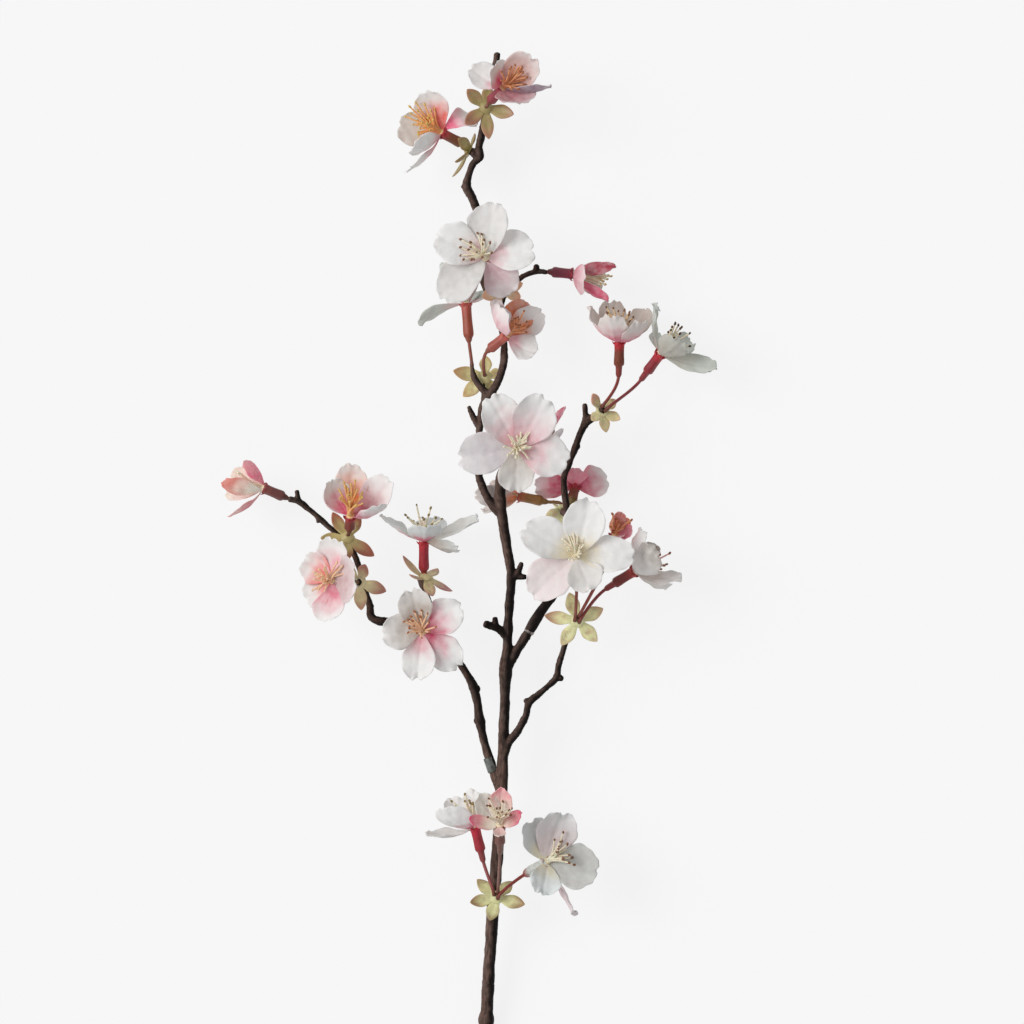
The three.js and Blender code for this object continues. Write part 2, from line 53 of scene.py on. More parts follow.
# Bracts, calyces and flowers all have five parts.
FOLD = 5

# A run of wood is a list of [x, y, z, radius], all in steps.
STEM_RUNS = {
  "trunk": [
    [486, 1100, 6.6, 6.4], [486.5, 1060, 9, 6.2], [486.5, 1030, 12, 6.3], [486.5, 1019, 13, 8.4],
    [487.2, 1008, 15, 6.2], [488.2, 983, 19, 6.4], [489.7, 958, 22, 5.9], [491.5, 933, 26, 6.1],
    [493, 905, 30, 6.2], [496, 870, 35, 6.1], [500, 820, 40, 6.0], [502.5, 775, 43, 5.8],
    [503.5, 735, 44, 5.5], [505, 700, 45, 5.0], [505.7, 668, 45, 6.6], [507.5, 645, 45, 4.9],
    [508.5, 620, 45, 4.6], [510, 597, 45, 4.6], [511.3, 574, 46, 4.6], [507.5, 550, 46, 4.8],
    [503, 522, 46, 5.4], [500, 494, 46, 5.8], [502, 474, 46, 5.0], [511, 456.2, 46.4, 4.2],
  ],
  "crown": [
    [500, 514, 46, 4.6], [491, 503, 46, 4.4], [484, 490, 45, 4.2], [479, 476, 44, 4.0],
    [478, 450, 44, 3.8], [481, 420, 44, 3.8], [484, 404, 45, 4.2], [493, 391, 47, 4.3],
    [502, 371, 47, 3.9], [504.5, 350, 46, 3.7], [501, 325, 44, 3.6], [494, 300, 42, 3.6],
    [484, 284, 41, 3.6], [479, 262, 42, 3.6], [478.5, 235, 45, 3.6], [478, 215, 47, 3.9],
    [472.5, 199, 47, 4.3], [467, 188, 47, 4.9], [469, 175, 47, 3.2], [474, 164, 47, 3.4],
    [480, 158, 46, 4.6], [479, 149, 45, 3.8], [481.5, 137, 43, 3.9], [484, 122, 41, 3.4],
    [488, 100, 40, 3.0], [493, 76, 41, 3.0], [496.5, 60, 43, 3.4], [497, 55, 44, 3.6],
  ],
  "crook": [[490, 396, 46, 4.0], [480, 387, 45, 3.6], [474, 377, 44, 3.2], [472, 366, 43, 2.2]],
  "budTwig": [
    [499, 315, 43, 3.4], [504, 297, 42, 2.9], [514, 284, 43, 2.8], [525, 276, 45, 2.8],
    [537, 272.5, 46, 2.9], [546.5, 273, 46, 2.6],
  ],
  "lowTwig": [
    [503, 756, 44, 5.0], [508, 743, 45, 4.6], [518, 730, 47, 3.8], [526, 714, 49, 3.6],
    [529, 702, 50, 4.0], [538.5, 693.5, 50, 3.3], [548, 685.5, 50, 3.2], [556, 677.5, 50, 3.6],
    [558, 667, 51, 3.0], [562, 653, 52, 2.9], [566, 641, 53, 2.8], [571, 628, 54, 2.9],
  ],
  "leftStub": [[502, 796, 42, 4.8], [497, 781, 42, 4.6], [492.7, 768.7, 42.2, 4.4]],
  "rightStub": [[505, 672, 45, 5.2], [514, 655, 45, 4.9], [528, 632.1, 45.2, 4.8]],
}
STEM_SPURS = [
  [[511, 580, 46, 3.6], [517, 574, 48, 3.2], [521.5, 563, 50, 2.6]],
  [[515, 576, 47, 3.4], [525.5, 577, 49, 3.0]],
  [[507, 637, 45, 4.2], [499, 629, 46, 4.2], [485.5, 623.5, 48, 3.9]],
  [[497, 629, 46, 3.3], [495, 618, 49, 3.2]],
  [[489, 984, 19, 3.0], [483, 981, 19, 2.4]],
  [[481, 430, 44, 3.4], [474, 419, 44, 3.4], [469, 407, 45, 2.2]],
  [[469, 190, 47, 3.0], [462.5, 187, 48, 2.4]],
  [[480, 160, 46, 3.0], [472, 154.5, 47, 2.7]],
  [[535, 273, 46, 2.4], [536.5, 266.5, 48, 2.9]],
  [[558, 677, 50, 3.0], [561.8, 678, 51, 3.0]],
  [[529, 703, 50, 3.0], [525, 699, 51, 2.8]],
]
LEFT_RUNS = {
  "arm": [
    [492.3, 767.8, 42.3, 4.5], [488, 753, 43, 4.6], [484.5, 742, 44, 4.4], [482, 731, 44, 4.4],
    [480, 721, 44, 5.3], [478, 706, 44, 4.3], [475.5, 694, 44, 4.4], [473.5, 686, 44, 5.2],
    [469, 677, 44, 4.0], [462.5, 667, 43, 3.9], [452, 653, 41, 3.8], [442, 643, 40, 4.0],
    [430, 635, 40, 3.7], [410, 627, 41, 3.5], [391, 621.5, 42, 3.8], [380, 620.5, 42, 4.6],
    [372, 617, 42, 4.2], [370.5, 606, 42, 3.3], [367, 594, 42, 3.1], [362, 576, 41, 3.0],
    [355, 555, 41, 3.0], [345, 539, 41, 3.0], [333, 530, 42, 2.9], [321, 519, 43, 2.9],
    [309, 509, 44, 2.9], [300, 502, 45, 3.4], [290.2, 499.1, 46, 3.2],
  ],
  "finger": [
    [442, 644, 40, 3.6], [437, 628, 39, 3.2], [432, 609, 38, 2.9], [427, 594, 38, 2.8],
    [419, 578, 38, 2.5],
  ],
}
LEFT_SPURS = [
  [[436, 639, 40, 2.8], [434, 637, 47, 2.6]],
  [[300, 502, 45, 2.6], [297.5, 491, 47, 2.8]],
  [[322, 520, 43, 2.4], [317.5, 521, 43, 2.0]],
  [[479, 688, 44, 3.0], [470, 688, 46, 2.6]],
  [[482, 722, 44, 3.0], [474.5, 720, 45, 2.6]],
]
RIGHT_RUNS = {
  "arm": [
    [528.5, 631.3, 45.3, 5.2], [536, 619, 46, 5.6], [546, 604, 46, 4.9], [555, 592, 45, 4.4],
    [562, 576, 42, 4.2], [566, 556, 40, 4.0], [568, 535, 40, 3.8], [567, 515, 42, 3.7],
    [565, 495, 45, 3.6], [564, 478, 46, 3.3], [570, 461, 46, 3.2], [575, 448, 46, 3.6],
    [580, 434, 46, 3.5], [585.5, 421.5, 46, 4.0], [585, 412, 46, 3.1], [584.5, 405, 46, 2.7],
  ],
}
RIGHT_SPURS = [
  [[585, 423, 46, 4.2], [591, 418.5, 47, 4.2], [597, 415.5, 48, 3.4]],
  [[575, 448, 46, 3.0], [579.5, 446.5, 46, 2.2]],
]

# Each bract: its hub, the way it faces, the path of its peg from inside the wood to behind the
# hub, and for each lobe its tip's place and its width, in steps.
BRACTS = {
  "top": {"at": [486, 109, 54], "faces": [0.1, 0.1, 0.98], "peg": [[485, 114, 40]], "lobes": [
    [467, 91, 60, 16], [489, 86, 57, 14], [514, 116, 60, 17], [489, 141, 60, 15],
    [465, 126, 67, 16]]},
  "top_left": {"at": [469, 150.5, 40], "faces": [-0.84, 0.45, 0.2], "peg": [[476, 156, 45]], "lobes": [
    [452, 178, 34, 14], [475, 134, 40, 14], [458, 140, 62, 15], [455, 163, 60, 15],
    [466, 156, 14, 14]]},
  "crown": {"at": [501, 292, 53], "faces": [0.05, -0.2, 0.97], "peg": [[496, 300, 42]], "lobes": [
    [482, 298, 58, 15], [493, 312, 52, 14], [521, 298, 57, 14], [523, 284, 56, 14],
    [509, 271, 54, 14]]},
  "crook": {"at": [485, 377, 36], "faces": [-0.05, 0.3, 0.95],
            "peg": [[485, 404, 44], [486, 396, 31]], "lobes": [
    [453, 371, 37, 18], [463, 397, 37, 17], [486, 356, 38, 15], [503, 372, 36, 14],
    [496, 395, 34, 14]]},
  "right": {"at": [602, 410.5, 53], "faces": [0.35, 0.42, 0.84], "peg": [[596, 416, 47.5]], "lobes": [
    [592, 394, 60, 14], [620, 420, 56, 15], [606, 433, 56, 14], [591, 421, 58, 12],
    [616, 400, 52, 13]]},
  "right_back": {"at": [564, 509, 31], "faces": [0.1, 0.75, -0.65], "peg": [[567, 513, 41]], "lobes": [
    [545, 518, 29, 17], [588, 499, 28, 15], [562, 524, 12, 15], [554, 500, 8, 14],
    [580, 510, 12, 14]]},
  "low_right": {"at": [577, 620, 60], "faces": [0.05, 0.15, 0.98], "peg": [[572, 628, 54]], "lobes": [
    [569, 592, 59, 17], [544, 615, 62, 16], [561, 645, 62, 16], [597, 641, 60, 17],
    [603, 608, 54, 17]]},
  "left_high": {"at": [348, 537, 50], "faces": [0.12, 0.45, 0.88], "peg": [[347, 541, 41]], "lobes": [
    [333, 512, 50, 15], [361, 516, 52, 14], [375, 556, 55, 17], [347, 561, 60, 15],
    [321, 538, 58, 15]]},
  "left_mid": {"at": [359, 582, 49], "faces": [-0.3, 0.1, 0.94], "peg": [[363, 580, 41]], "lobes": [
    [366, 564, 58, 15], [387, 591, 56, 16], [362, 610, 54, 16], [340, 602, 44, 14],
    [343, 563, 46, 14]]},
  "left_inner": {"at": [426, 577, 43], "faces": [0.05, 0.9, 0.4], "peg": [[423, 586, 38]], "lobes": [
    [403, 555, 42, 13], [410, 574, 62, 14], [433, 596, 62, 14], [453, 591, 46, 15],
    [438, 568, 18, 14]]},
  "base": {"at": [496.5, 896, 49], "faces": [0, 0.35, 0.93], "peg": [[494.5, 903, 31]], "lobes": [
    [470, 901, 55, 16], [490, 919, 57, 16], [525, 903, 55, 17], [477, 878, 47, 15],
    [512, 880, 43, 15]]},
}

# Each flower: the middle of its throat, the way it faces, the length of its calyx in mm, what
# carries it (a bract, with the bearing of its place on the peg, or the end of a twig), how
# far its petals belly out as a share of their length, and its petals. A petal has its tip's
# place and its width in steps, then how strongly its inner side turns up from the way the
# flower faces, or down where that is negative, and its own belly where it differs.
FLOWERS = {
  "top_right": {
    "at": [503, 90, 79], "faces": [0.5, 0.5, 0.7], "calyx": 9, "on": "top", "belly": 0.1, "petals": [
      [534, 60, 104, 37, 0.5], [552, 88, 90, 32, -0.6], [470, 70, 74, 34, 0.4],
      [494, 68, 96, 36, 0.2], [524, 106, 104, 46, 0.2]]},
  "top_left": {
    "at": [442, 134, 47], "faces": [-0.86, 0.45, 0.2], "calyx": 8.4, "on": "top_left", "belly": 0.1,
    "petals": [
      [424, 93, 56, 40, 1], [398, 126, 34, 38, 1.2], [411, 152, 76, 34, -0.2],
      [404, 174, 42, 26, -0.2], [477, 124, 40, 30, 0.5, -0.18]]},
  "crown": {
    "at": [486, 259, 82], "faces": [-0.35, 0.3, 0.88], "calyx": 8.5, "on": "crown", "belly": -0.06,
    "petals": [
      [496, 204, 92, 44], [435, 238, 84, 44], [443, 302, 90, 46], [513, 295, 78, 38],
      [535, 252, 94, 46]]},
  "right_bud": {
    "at": [573, 275, 47.5], "faces": [0.98, -0.1, 0.08], "calyx": 7.8, "from": [549, 273, 46],
    "belly": 0.06, "petals": [
      [615, 267, 60, 19, -0.1], [584, 284, 74, 32], [609, 301, 60, 20, -0.1],
      [602, 290, 24, 24], [606, 272, 26, 22]]},
  "crown_low": {
    "at": [507, 336, 62], "faces": [0.74, 0.6, 0.3], "calyx": 8.4, "on": "crook", "belly": 0.12,
    "petals": [
      [497, 300, 72, 32, -0.8], [527, 302, 42, 33, 1], [543, 312, 44, 32, 0.6],
      [536, 354, 64, 34, 0.9], [503, 308, 90, 36, -0.4, 0.22]]},
  "crown_back": {
    "at": [466, 304, 38], "faces": [-0.08, 0.98, -0.1], "calyx": 11, "from": [472, 365, 43],
    "belly": 0.08, "petals": [
      [419, 326, 34, 22, -0.4, -0.1], [444, 262, 52, 30], [470, 258, 22, 28],
      [496, 286, 14, 28], [466, 290, 2, 28]]},
  "right_cup": {
    "at": [619, 342, 48], "faces": [0.02, 0.97, 0.25], "calyx": 11.5, "on": "right", "bearing": 130,
    "belly": 0.16, "petals": [
      [589, 306, 54, 28], [611, 316, 84, 34], [641, 322, 80, 32], [646, 308, 26, 32],
      [610, 300, 20, 32]]},
  "right_outer": {
    "at": [660, 354, 50], "faces": [0.55, 0.74, 0.4], "calyx": 11.5, "on": "right", "bearing": 310,
    "belly": 0.08, "petals": [
      [655, 303, 46, 28, -0.4], [680, 341, 86, 32, -0.3], [717, 368, 56, 22, 1],
      [690, 338, 12, 32], [664, 336, 2, 32]]},
  "centre": {
    "at": [517, 449, 86], "faces": [0.1, 0.12, 0.98], "calyx": 9, "from": [512.5, 454.5, 47],
    "belly": -0.05, "petals": [
      [489, 396, 96, 42], [546, 397, 98, 46], [569, 463, 90, 44], [515, 493, 92, 38],
      [458, 459, 90, 44]]},
  "centre_bud": {
    "at": [541, 446, 44], "faces": [0.62, 0.74, 0.22], "calyx": 8, "from": [513, 465, 46],
    "belly": 0.1, "petals": [
      [565, 407, 54, 8, -0.3], [563, 429, 54, 8, -0.3], [548, 412, 26, 20], [536, 408, 40, 20],
      [560, 440, 26, 18]]},
  "right_back": {
    "at": [575, 487, 19], "faces": [0.2, 0.8, -0.55], "calyx": 6, "on": "right_back", "bearing": 0,
    "belly": 0.05, "petals": [
      [534, 487, 24, 31, -1], [608, 479, 22, 38, -1], [600, 476, 11.5, 30],
      [558, 472, 11.5, 28], [574, 468, 34, 26]]},
  "stem_back": {
    "at": [518, 496, 21], "faces": [-0.97, 0.2, -0.1], "calyx": 9.4, "on": "right_back",
    "bearing": 180, "belly": 0.1, "petals": [
      [474, 494, 34, 24], [481, 511, 25, 22, 0.4], [484, 504, 9, 22], [488, 486, 10, 22],
      [495, 480, 28, 24]]},
  "middle": {
    "at": [576, 556, 90], "faces": [-0.03, 0.3, 0.95], "calyx": 9, "on": "low_right", "bearing": 190,
    "belly": -0.05, "petals": [
      [590, 499, 100, 44], [522, 527, 98, 44], [531, 596, 96, 46], [590, 591, 102, 38],
      [635, 555, 96, 40]]},
  "small_bud": {
    "at": [615, 534, 60], "faces": [0.2, 0.75, 0.6], "calyx": 7, "on": "low_right", "bearing": 70,
    "belly": 0.12, "petals": [
      [613, 518, 72, 14], [621, 512, 62, 15], [629, 519, 62, 14], [632, 529, 72, 18, 0.8],
      [621, 536, 76, 12, 0.5]]},
  "low_right": {
    "at": [634, 571, 58], "faces": [0.8, 0.5, 0.33], "calyx": 11.5, "on": "low_right", "bearing": 310,
    "belly": 0.1, "petals": [
      [642, 529, 72, 36, -0.4], [658, 546, 36, 28], [670, 584, 22, 20], [682, 577, 62, 20, 0.4],
      [657, 550, 92, 36, -0.3]]},
  "left_bud": {
    "at": [264, 488, 49], "faces": [-0.9, 0.38, 0.12], "calyx": 8.2, "from": [289, 498.8, 46],
    "belly": 0.08, "petals": [
      [245, 461, 60, 18, -0.3], [223, 483, 62, 22, -0.2], [229, 517, 44, 20, -0.25],
      [232, 472, 30, 22], [226, 494, 28, 22]]},
  "left_high": {
    "at": [351, 516, 70], "faces": [0.05, 0.75, 0.66], "calyx": 6.3, "on": "left_high", "belly": 0.14,
    "petals": [
      [352, 463, 62, 35, 0.5], [331, 480, 76, 32, 0.3], [391, 479, 76, 38, 0.5],
      [384, 504, 100, 28, -0.6], [327, 488, 58, 24, 0.3]]},
  "left_mid": {
    "at": [333, 580, 70], "faces": [-0.75, 0.03, 0.66], "calyx": 8, "on": "left_mid", "belly": 0.12,
    "petals": [
      [333, 537, 80, 40, 0.3], [303, 560, 56, 36, 0.3], [306, 600, 54, 36, 0.3],
      [328, 621, 80, 42, 0.3], [357, 579, 106, 50, 0.3]]},
  "left_inner": {
    "at": [424, 541, 50], "faces": [0, 0.97, 0.22], "calyx": 8.5, "on": "left_inner", "belly": 0.05,
    "petals": [
      [380, 515, 48, 30, -0.1], [427, 526, 88, 36], [459, 549, 74, 24, -1.1],
      [479, 517, 44, 28, 0.2], [436, 517, 1.5, 32]]},
  "left_front": {
    "at": [423, 631, 74], "faces": [-0.1, 0.2, 0.97], "calyx": 8.5, "from": [434, 637, 47],
    "belly": -0.05, "petals": [
      [411, 588, 86, 36], [463, 606, 84, 38], [460, 667, 78, 36], [417, 680, 85, 36],
      [382, 634, 84, 38]]},
  "base_left": {
    "at": [475, 826, 56], "faces": [-0.23, 0.95, 0.2], "calyx": 11.5, "on": "base", "bearing": 150,
    "belly": 0.12, "petals": [
      [443, 806, 90, 40, -0.3], [426, 832, 60, 30, 0.1], [450, 797, 30, 32], [470, 790, 14, 30],
      [486, 812, 1.5, 30]]},
  "base_centre": {
    "at": [500, 823, 80], "faces": [0, 0.75, 0.66], "calyx": 12.5, "on": "base", "bearing": 60,
    "belly": 0.1, "petals": [
      [501, 787, 84, 24, 1], [480, 793, 84, 26, 1], [470, 817, 98, 16, 1],
      [499, 833, 112, 13, 0.5], [521, 811, 98, 15, 1]]},
  "base_right": {
    "at": [547, 860, 58], "faces": [0.75, 0.45, 0.5], "calyx": 9, "on": "base", "bearing": 300,
    "belly": 0.04, "petals": [
      [530, 818, 67, 38, 1.5], [564, 810, 68, 43, 1.5], [599, 869, 69, 48, 1.5],
      [576, 915, 47, 22, -0.4], [540, 893, 70, 33, 1.5, -0.1]]},
}


# ---------------------------------------------------------------- paints
# The cloth's colours and the airbrushed dyes. The greys, the taupe and the greyed cloths are painted
# shade, and tan and mauve are a warm tint and a pink one with painted shade in them.
PAINTS = {
    "rose": "#e2607f", "crimson": "#bf2a4e", "coral": "#f06a60", "orange": "#ec7a34",
    "peach": "#f0a077", "shell": "#f2b3bc", "shaded_mauve": "#a3869a", "garnet": "#c84460",
    "fuchsia": "#d8406e", "vermilion": "#dc4a30", "hot": "#fa5c88", "straw": "#eed898",
    "tan": "#a89480", "blush": "#d6b6ba", "shade_grey": "#c8c4c0", "shade_taupe": "#a0968c", "melon": "#ee6a64",
    "clay": "#cc8a80", "wine": "#ac3a4c", "rosewood": "#b87078", "white": "#f6f4f1",
    "ivory": "#fbf2e2", "cool": "#e4e8e6", "shaded_white": "#e6ddd8", "shaded_sage": "#cdd2ca",
}

# For each flower: the cloth's colour, the paint of the inner side and of the outer side as
# (paint, strength, reach from the throat as a share of the petal, or from the tip where it is
# negative), how far the petals' edges wave, in mm, how deep their tips are notched, as a share of
# their length, and by petal number the paints of any that differ. A greyed cloth is painted shade
# over a flower that lies in shade; grey and taupe paints are painted shade on petals that face away
# from the light or lie under stamens or other petals; tan is partly a warm tint and partly painted
# shade near the throat; mauve is pink with painted shade; and the crown's dull blush on petal 3 is
# partly painted shade.
CLOTH = {
    "top_right": ("white", ("clay", 0.6, 1.3), ("rosewood", 0.5, 1.4), 0.5, 0.05, {
        1: (("rosewood", 0.6, 1.2), ("shaded_mauve", 0.75, 3)),
        2: (("rose", 0.6, 0.5), ("shell", 0.5, 0.8)), 3: (("hot", 0.75, 0.6), ("shell", 0.5, 0.8)),
        4: (("garnet", 0.6, 1.3), ("garnet", 0.6, 1.2))}),
    "top_left": ("white", ("rose", 0.9, 0.7), ("rose", 0.8, 0.6), 0.5, 0.05, {
        0: (("coral", 0.9, 0.85), ("rose", 0.6, 0.6)), 1: (("tan", 0.45, 2), ("shell", 0.5, 0.6)),
        2: (("rose", 0.9, 0.7), ("rose", 0.6, 0.6)), 4: (("hot", 0.9, 0.8), ("rose", 0.8, 0.8))}),
    "crown": ("white", ("shell", 0.5, 0.5), ("shell", 0.4, 0.7), 0.9, 0.06, {
        0: (("shade_grey", 0.3, 3), ("shell", 0.4, 0.7)), 2: (("shade_grey", 0.4, 4), ("shell", 0.5, 0.8)),
        3: (("blush", 0.9, 1.3), ("blush", 0.6, 1.2)), 4: (("rose", 0.35, 0.5), ("shell", 0.5, 0.8))}),
    "right_bud": ("white", ("crimson", 0.8, 1.6), ("wine", 0.95, 3), 0.3, 0.0, {
        1: (("coral", 0.45, 1.3), ("rose", 0.6, 1.4)), 2: (("peach", 0.9, 0.9), ("rose", 0.9, 3)),
        3: (("tan", 0.6, 2), ("peach", 0.6, 2)), 4: (("tan", 0.6, 2), ("peach", 0.6, 2))}),
    "crown_low": ("white", ("blush", 0.5, 3), ("blush", 0.4, 3), 0.5, 0.04, {
        1: (("orange", 0.85, 1.7), ("peach", 0.5, 0.8)),
        2: (("orange", 0.8, 0.75), ("shell", 0.5, 0.8)),
        3: (("rose", 0.5, 0.6), ("shell", 0.5, 0.8)), 4: (("rose", 0.45, 1.1), ("rose", 0.5, 1.1))}),
    "crown_back": ("shaded_sage", ("shell", 0.5, 0.5), ("shell", 0.4, 0.5), 0.5, 0.04, {}),
    "right_cup": ("shaded_white", ("rose", 0.5, 0.6), ("rose", 0.9, 0.75), 0.9, 0.05, {
        2: (("tan", 0.6, 1.2), ("rose", 0.9, 0.75)), 3: (("tan", 0.6, 1.3), ("rose", 0.8, 0.7)),
        4: (("tan", 0.5, 1.2), ("rose", 0.8, 0.7))}),
    "right_outer": ("shaded_sage", ("tan", 0.3, 0.8), ("rose", 0.6, 0.35), 0.9, 0.03, {
        1: (("tan", 0.4, 1.2), ("tan", 0.4, 1.5))}),
    "centre": ("white", ("shell", 0.7, 0.75), ("shell", 0.5, 0.7), 0.9, 0.07, {
        1: (("rose", 0.45, 0.8), ("shell", 0.5, 0.8)), 3: (("tan", 0.4, 1.3), ("shell", 0.5, 0.7)),
        4: (("shaded_mauve", 0.3, 1.5), ("shell", 0.5, 0.7))}),
    "centre_bud": ("white", ("rose", 0.7, 2), ("rose", 0.8, 2), 0.3, 0.0, {
        1: (("shaded_mauve", 0.2, 2), ("shaded_mauve", 0.2, 2))}),
    "right_back": ("white", ("rose", 0.75, 0.9), ("fuchsia", 0.65, 1.0), 0.6, 0.06, {
        0: (("rose", 0.8, 1.3), ("fuchsia", 0.8, 1.2)),
        1: (("rose", 0.75, 1.1), ("fuchsia", 0.75, 1.0)),
        3: (("rose", 0.6, 0.8), ("rose", 0.6, 0.8)), 4: (("hot", 0.65, 2), ("hot", 0.65, 2))}),
    "stem_back": ("shaded_white", ("peach", 0.7, 0.5), ("orange", 0.9, 0.5), 0.5, 0.05, {}),
    "middle": ("white", ("straw", 0.5, 0.45), ("shell", 0.3, 0.6), 0.9, 0.06, {
        2: (("shell", 0.2, 2), ("shell", 0.4, 1.0)), 3: (("tan", 0.2, 1.4), ("shell", 0.4, 1.0))}),
    "small_bud": ("white", ("orange", 0.75, 3), ("peach", 0.8, 3), 0.3, 0.0, {
        1: (("vermilion", 0.65, 3), ("vermilion", 0.8, 3)), 3: (("hot", 0.65, 3), ("hot", 0.6, 3)),
        4: (("hot", 0.4, 3), ("hot", 0.4, 3))}),
    "low_right": ("white", ("tan", 0.35, 1.0), ("rose", 0.7, 0.4), 1.1, 0.04, {
        1: (("shade_taupe", 0.6, 3), ("shade_taupe", 0.6, 3)), 4: (("shade_taupe", 0.6, -0.8), ("shade_taupe", 0.7, -0.8))}),
    "left_bud": ("ivory", ("shell", 0.5, 1.2), ("rose", 0.8, 1.6), 0.3, 0.0, {
        0: (("hot", 0.6, 2), ("hot", 0.7, 2)), 1: (("coral", 0.5, -0.9), ("coral", 0.7, -0.8)),
        2: (("rose", 0.6, -0.8), ("rose", 0.7, 1.4))}),
    "left_high": ("white", ("orange", 0.95, 1.05), ("rose", 0.4, 0.5), 0.5, 0.05, {
        1: (("rose", 0.85, 0.85), ("rose", 0.6, 0.8)),
        2: (("garnet", 0.7, 0.85), ("rose", 0.6, 0.8)),
        3: (("rose", 0.9, 0.85), ("rose", 0.8, 0.8)), 4: (("rose", 0.5, 0.7), ("rose", 0.5, 0.6))}),
    "left_mid": ("white", ("shell", 0.9, 0.8), ("shell", 0.5, 0.6), 0.5, 0.05, {
        1: (("melon", 0.95, 0.9), ("shell", 0.5, 0.6)),
        2: (("melon", 0.9, 0.85), ("shell", 0.5, 0.6)),
        3: (("rose", 0.7, 0.95), ("rose", 0.4, 0.9)),
        4: (("rosewood", 0.5, 1.3), ("shell", 0.5, 0.9))}),
    "left_inner": ("cool", ("tan", 0.4, 0.5), ("rose", 0.9, 0.6), 0.6, 0.04, {
        2: (("tan", 0.8, 0.9), ("tan", 0.7, 1.1)), 3: (("tan", 0.3, 1.5), ("rose", 0.8, 0.4))}),
    "left_front": ("white", ("tan", 0.55, 1.3), ("shell", 0.5, 0.7), 0.8, 0.08, {
        1: (("fuchsia", 0.7, 0.8), ("shell", 0.5, 0.7)),
        2: (("fuchsia", 0.75, 0.75), ("shell", 0.5, 0.7)),
        3: (("rose", 0.5, 0.6), ("shell", 0.5, 0.7)), 4: (("tan", 0.4, 1.1), ("shell", 0.5, 0.7))}),
    "base_left": ("white", ("rose", 0.5, 0.5), ("fuchsia", 0.9, 0.45), 0.5, 0.0, {
        1: (("shade_grey", 0.5, 3), ("shade_grey", 0.5, 3)), 4: (("hot", 0.75, 1.2), ("hot", 0.8, 1.2))}),
    "base_centre": ("ivory", ("hot", 0.5, -0.7), ("rose", 0.7, 1.6), 0.3, -0.04, {
        1: (("cool", 0.5, 2), ("cool", 0.3, 1.5)), 2: (("hot", 1, -0.8), ("rose", 0.8, 1.5)),
        3: (("shell", 0.5, 1.5), ("peach", 0.5, 1.5)),
        4: (("fuchsia", 0.9, -1.3), ("crimson", 0.75, 3))}),
    "base_right": ("cool", ("straw", 0.4, 0.6), ("shell", 0.3, 0.6), 1.0, 0.09, {
        1: (("shell", 0.25, 1.2), ("shell", 0.4, 1.0)), 2: (("shade_taupe", 0.35, 3), ("cool", 0.4, 1.0)),
        3: (("shell", 0.4, 1.4), ("shell", 0.5, 1.4))}),
}
# How wide a petal is where it leaves the throat, as a share of its width, where it isn't usual.
FOOT = {
    "base_right": 0.6, "left_mid": 0.5, "right_outer": 0.35, "low_right": 0.4, "left_high": 0.4,
    "crown": 0.58, "centre": 0.55, "middle": 0.55, "left_front": 0.46, "right_back": 0.5,
    "right_bud": 0.5, "small_bud": 0.6, "base_centre": 0.8, "top_right": 0.7, "crown_low": 0.5,
}

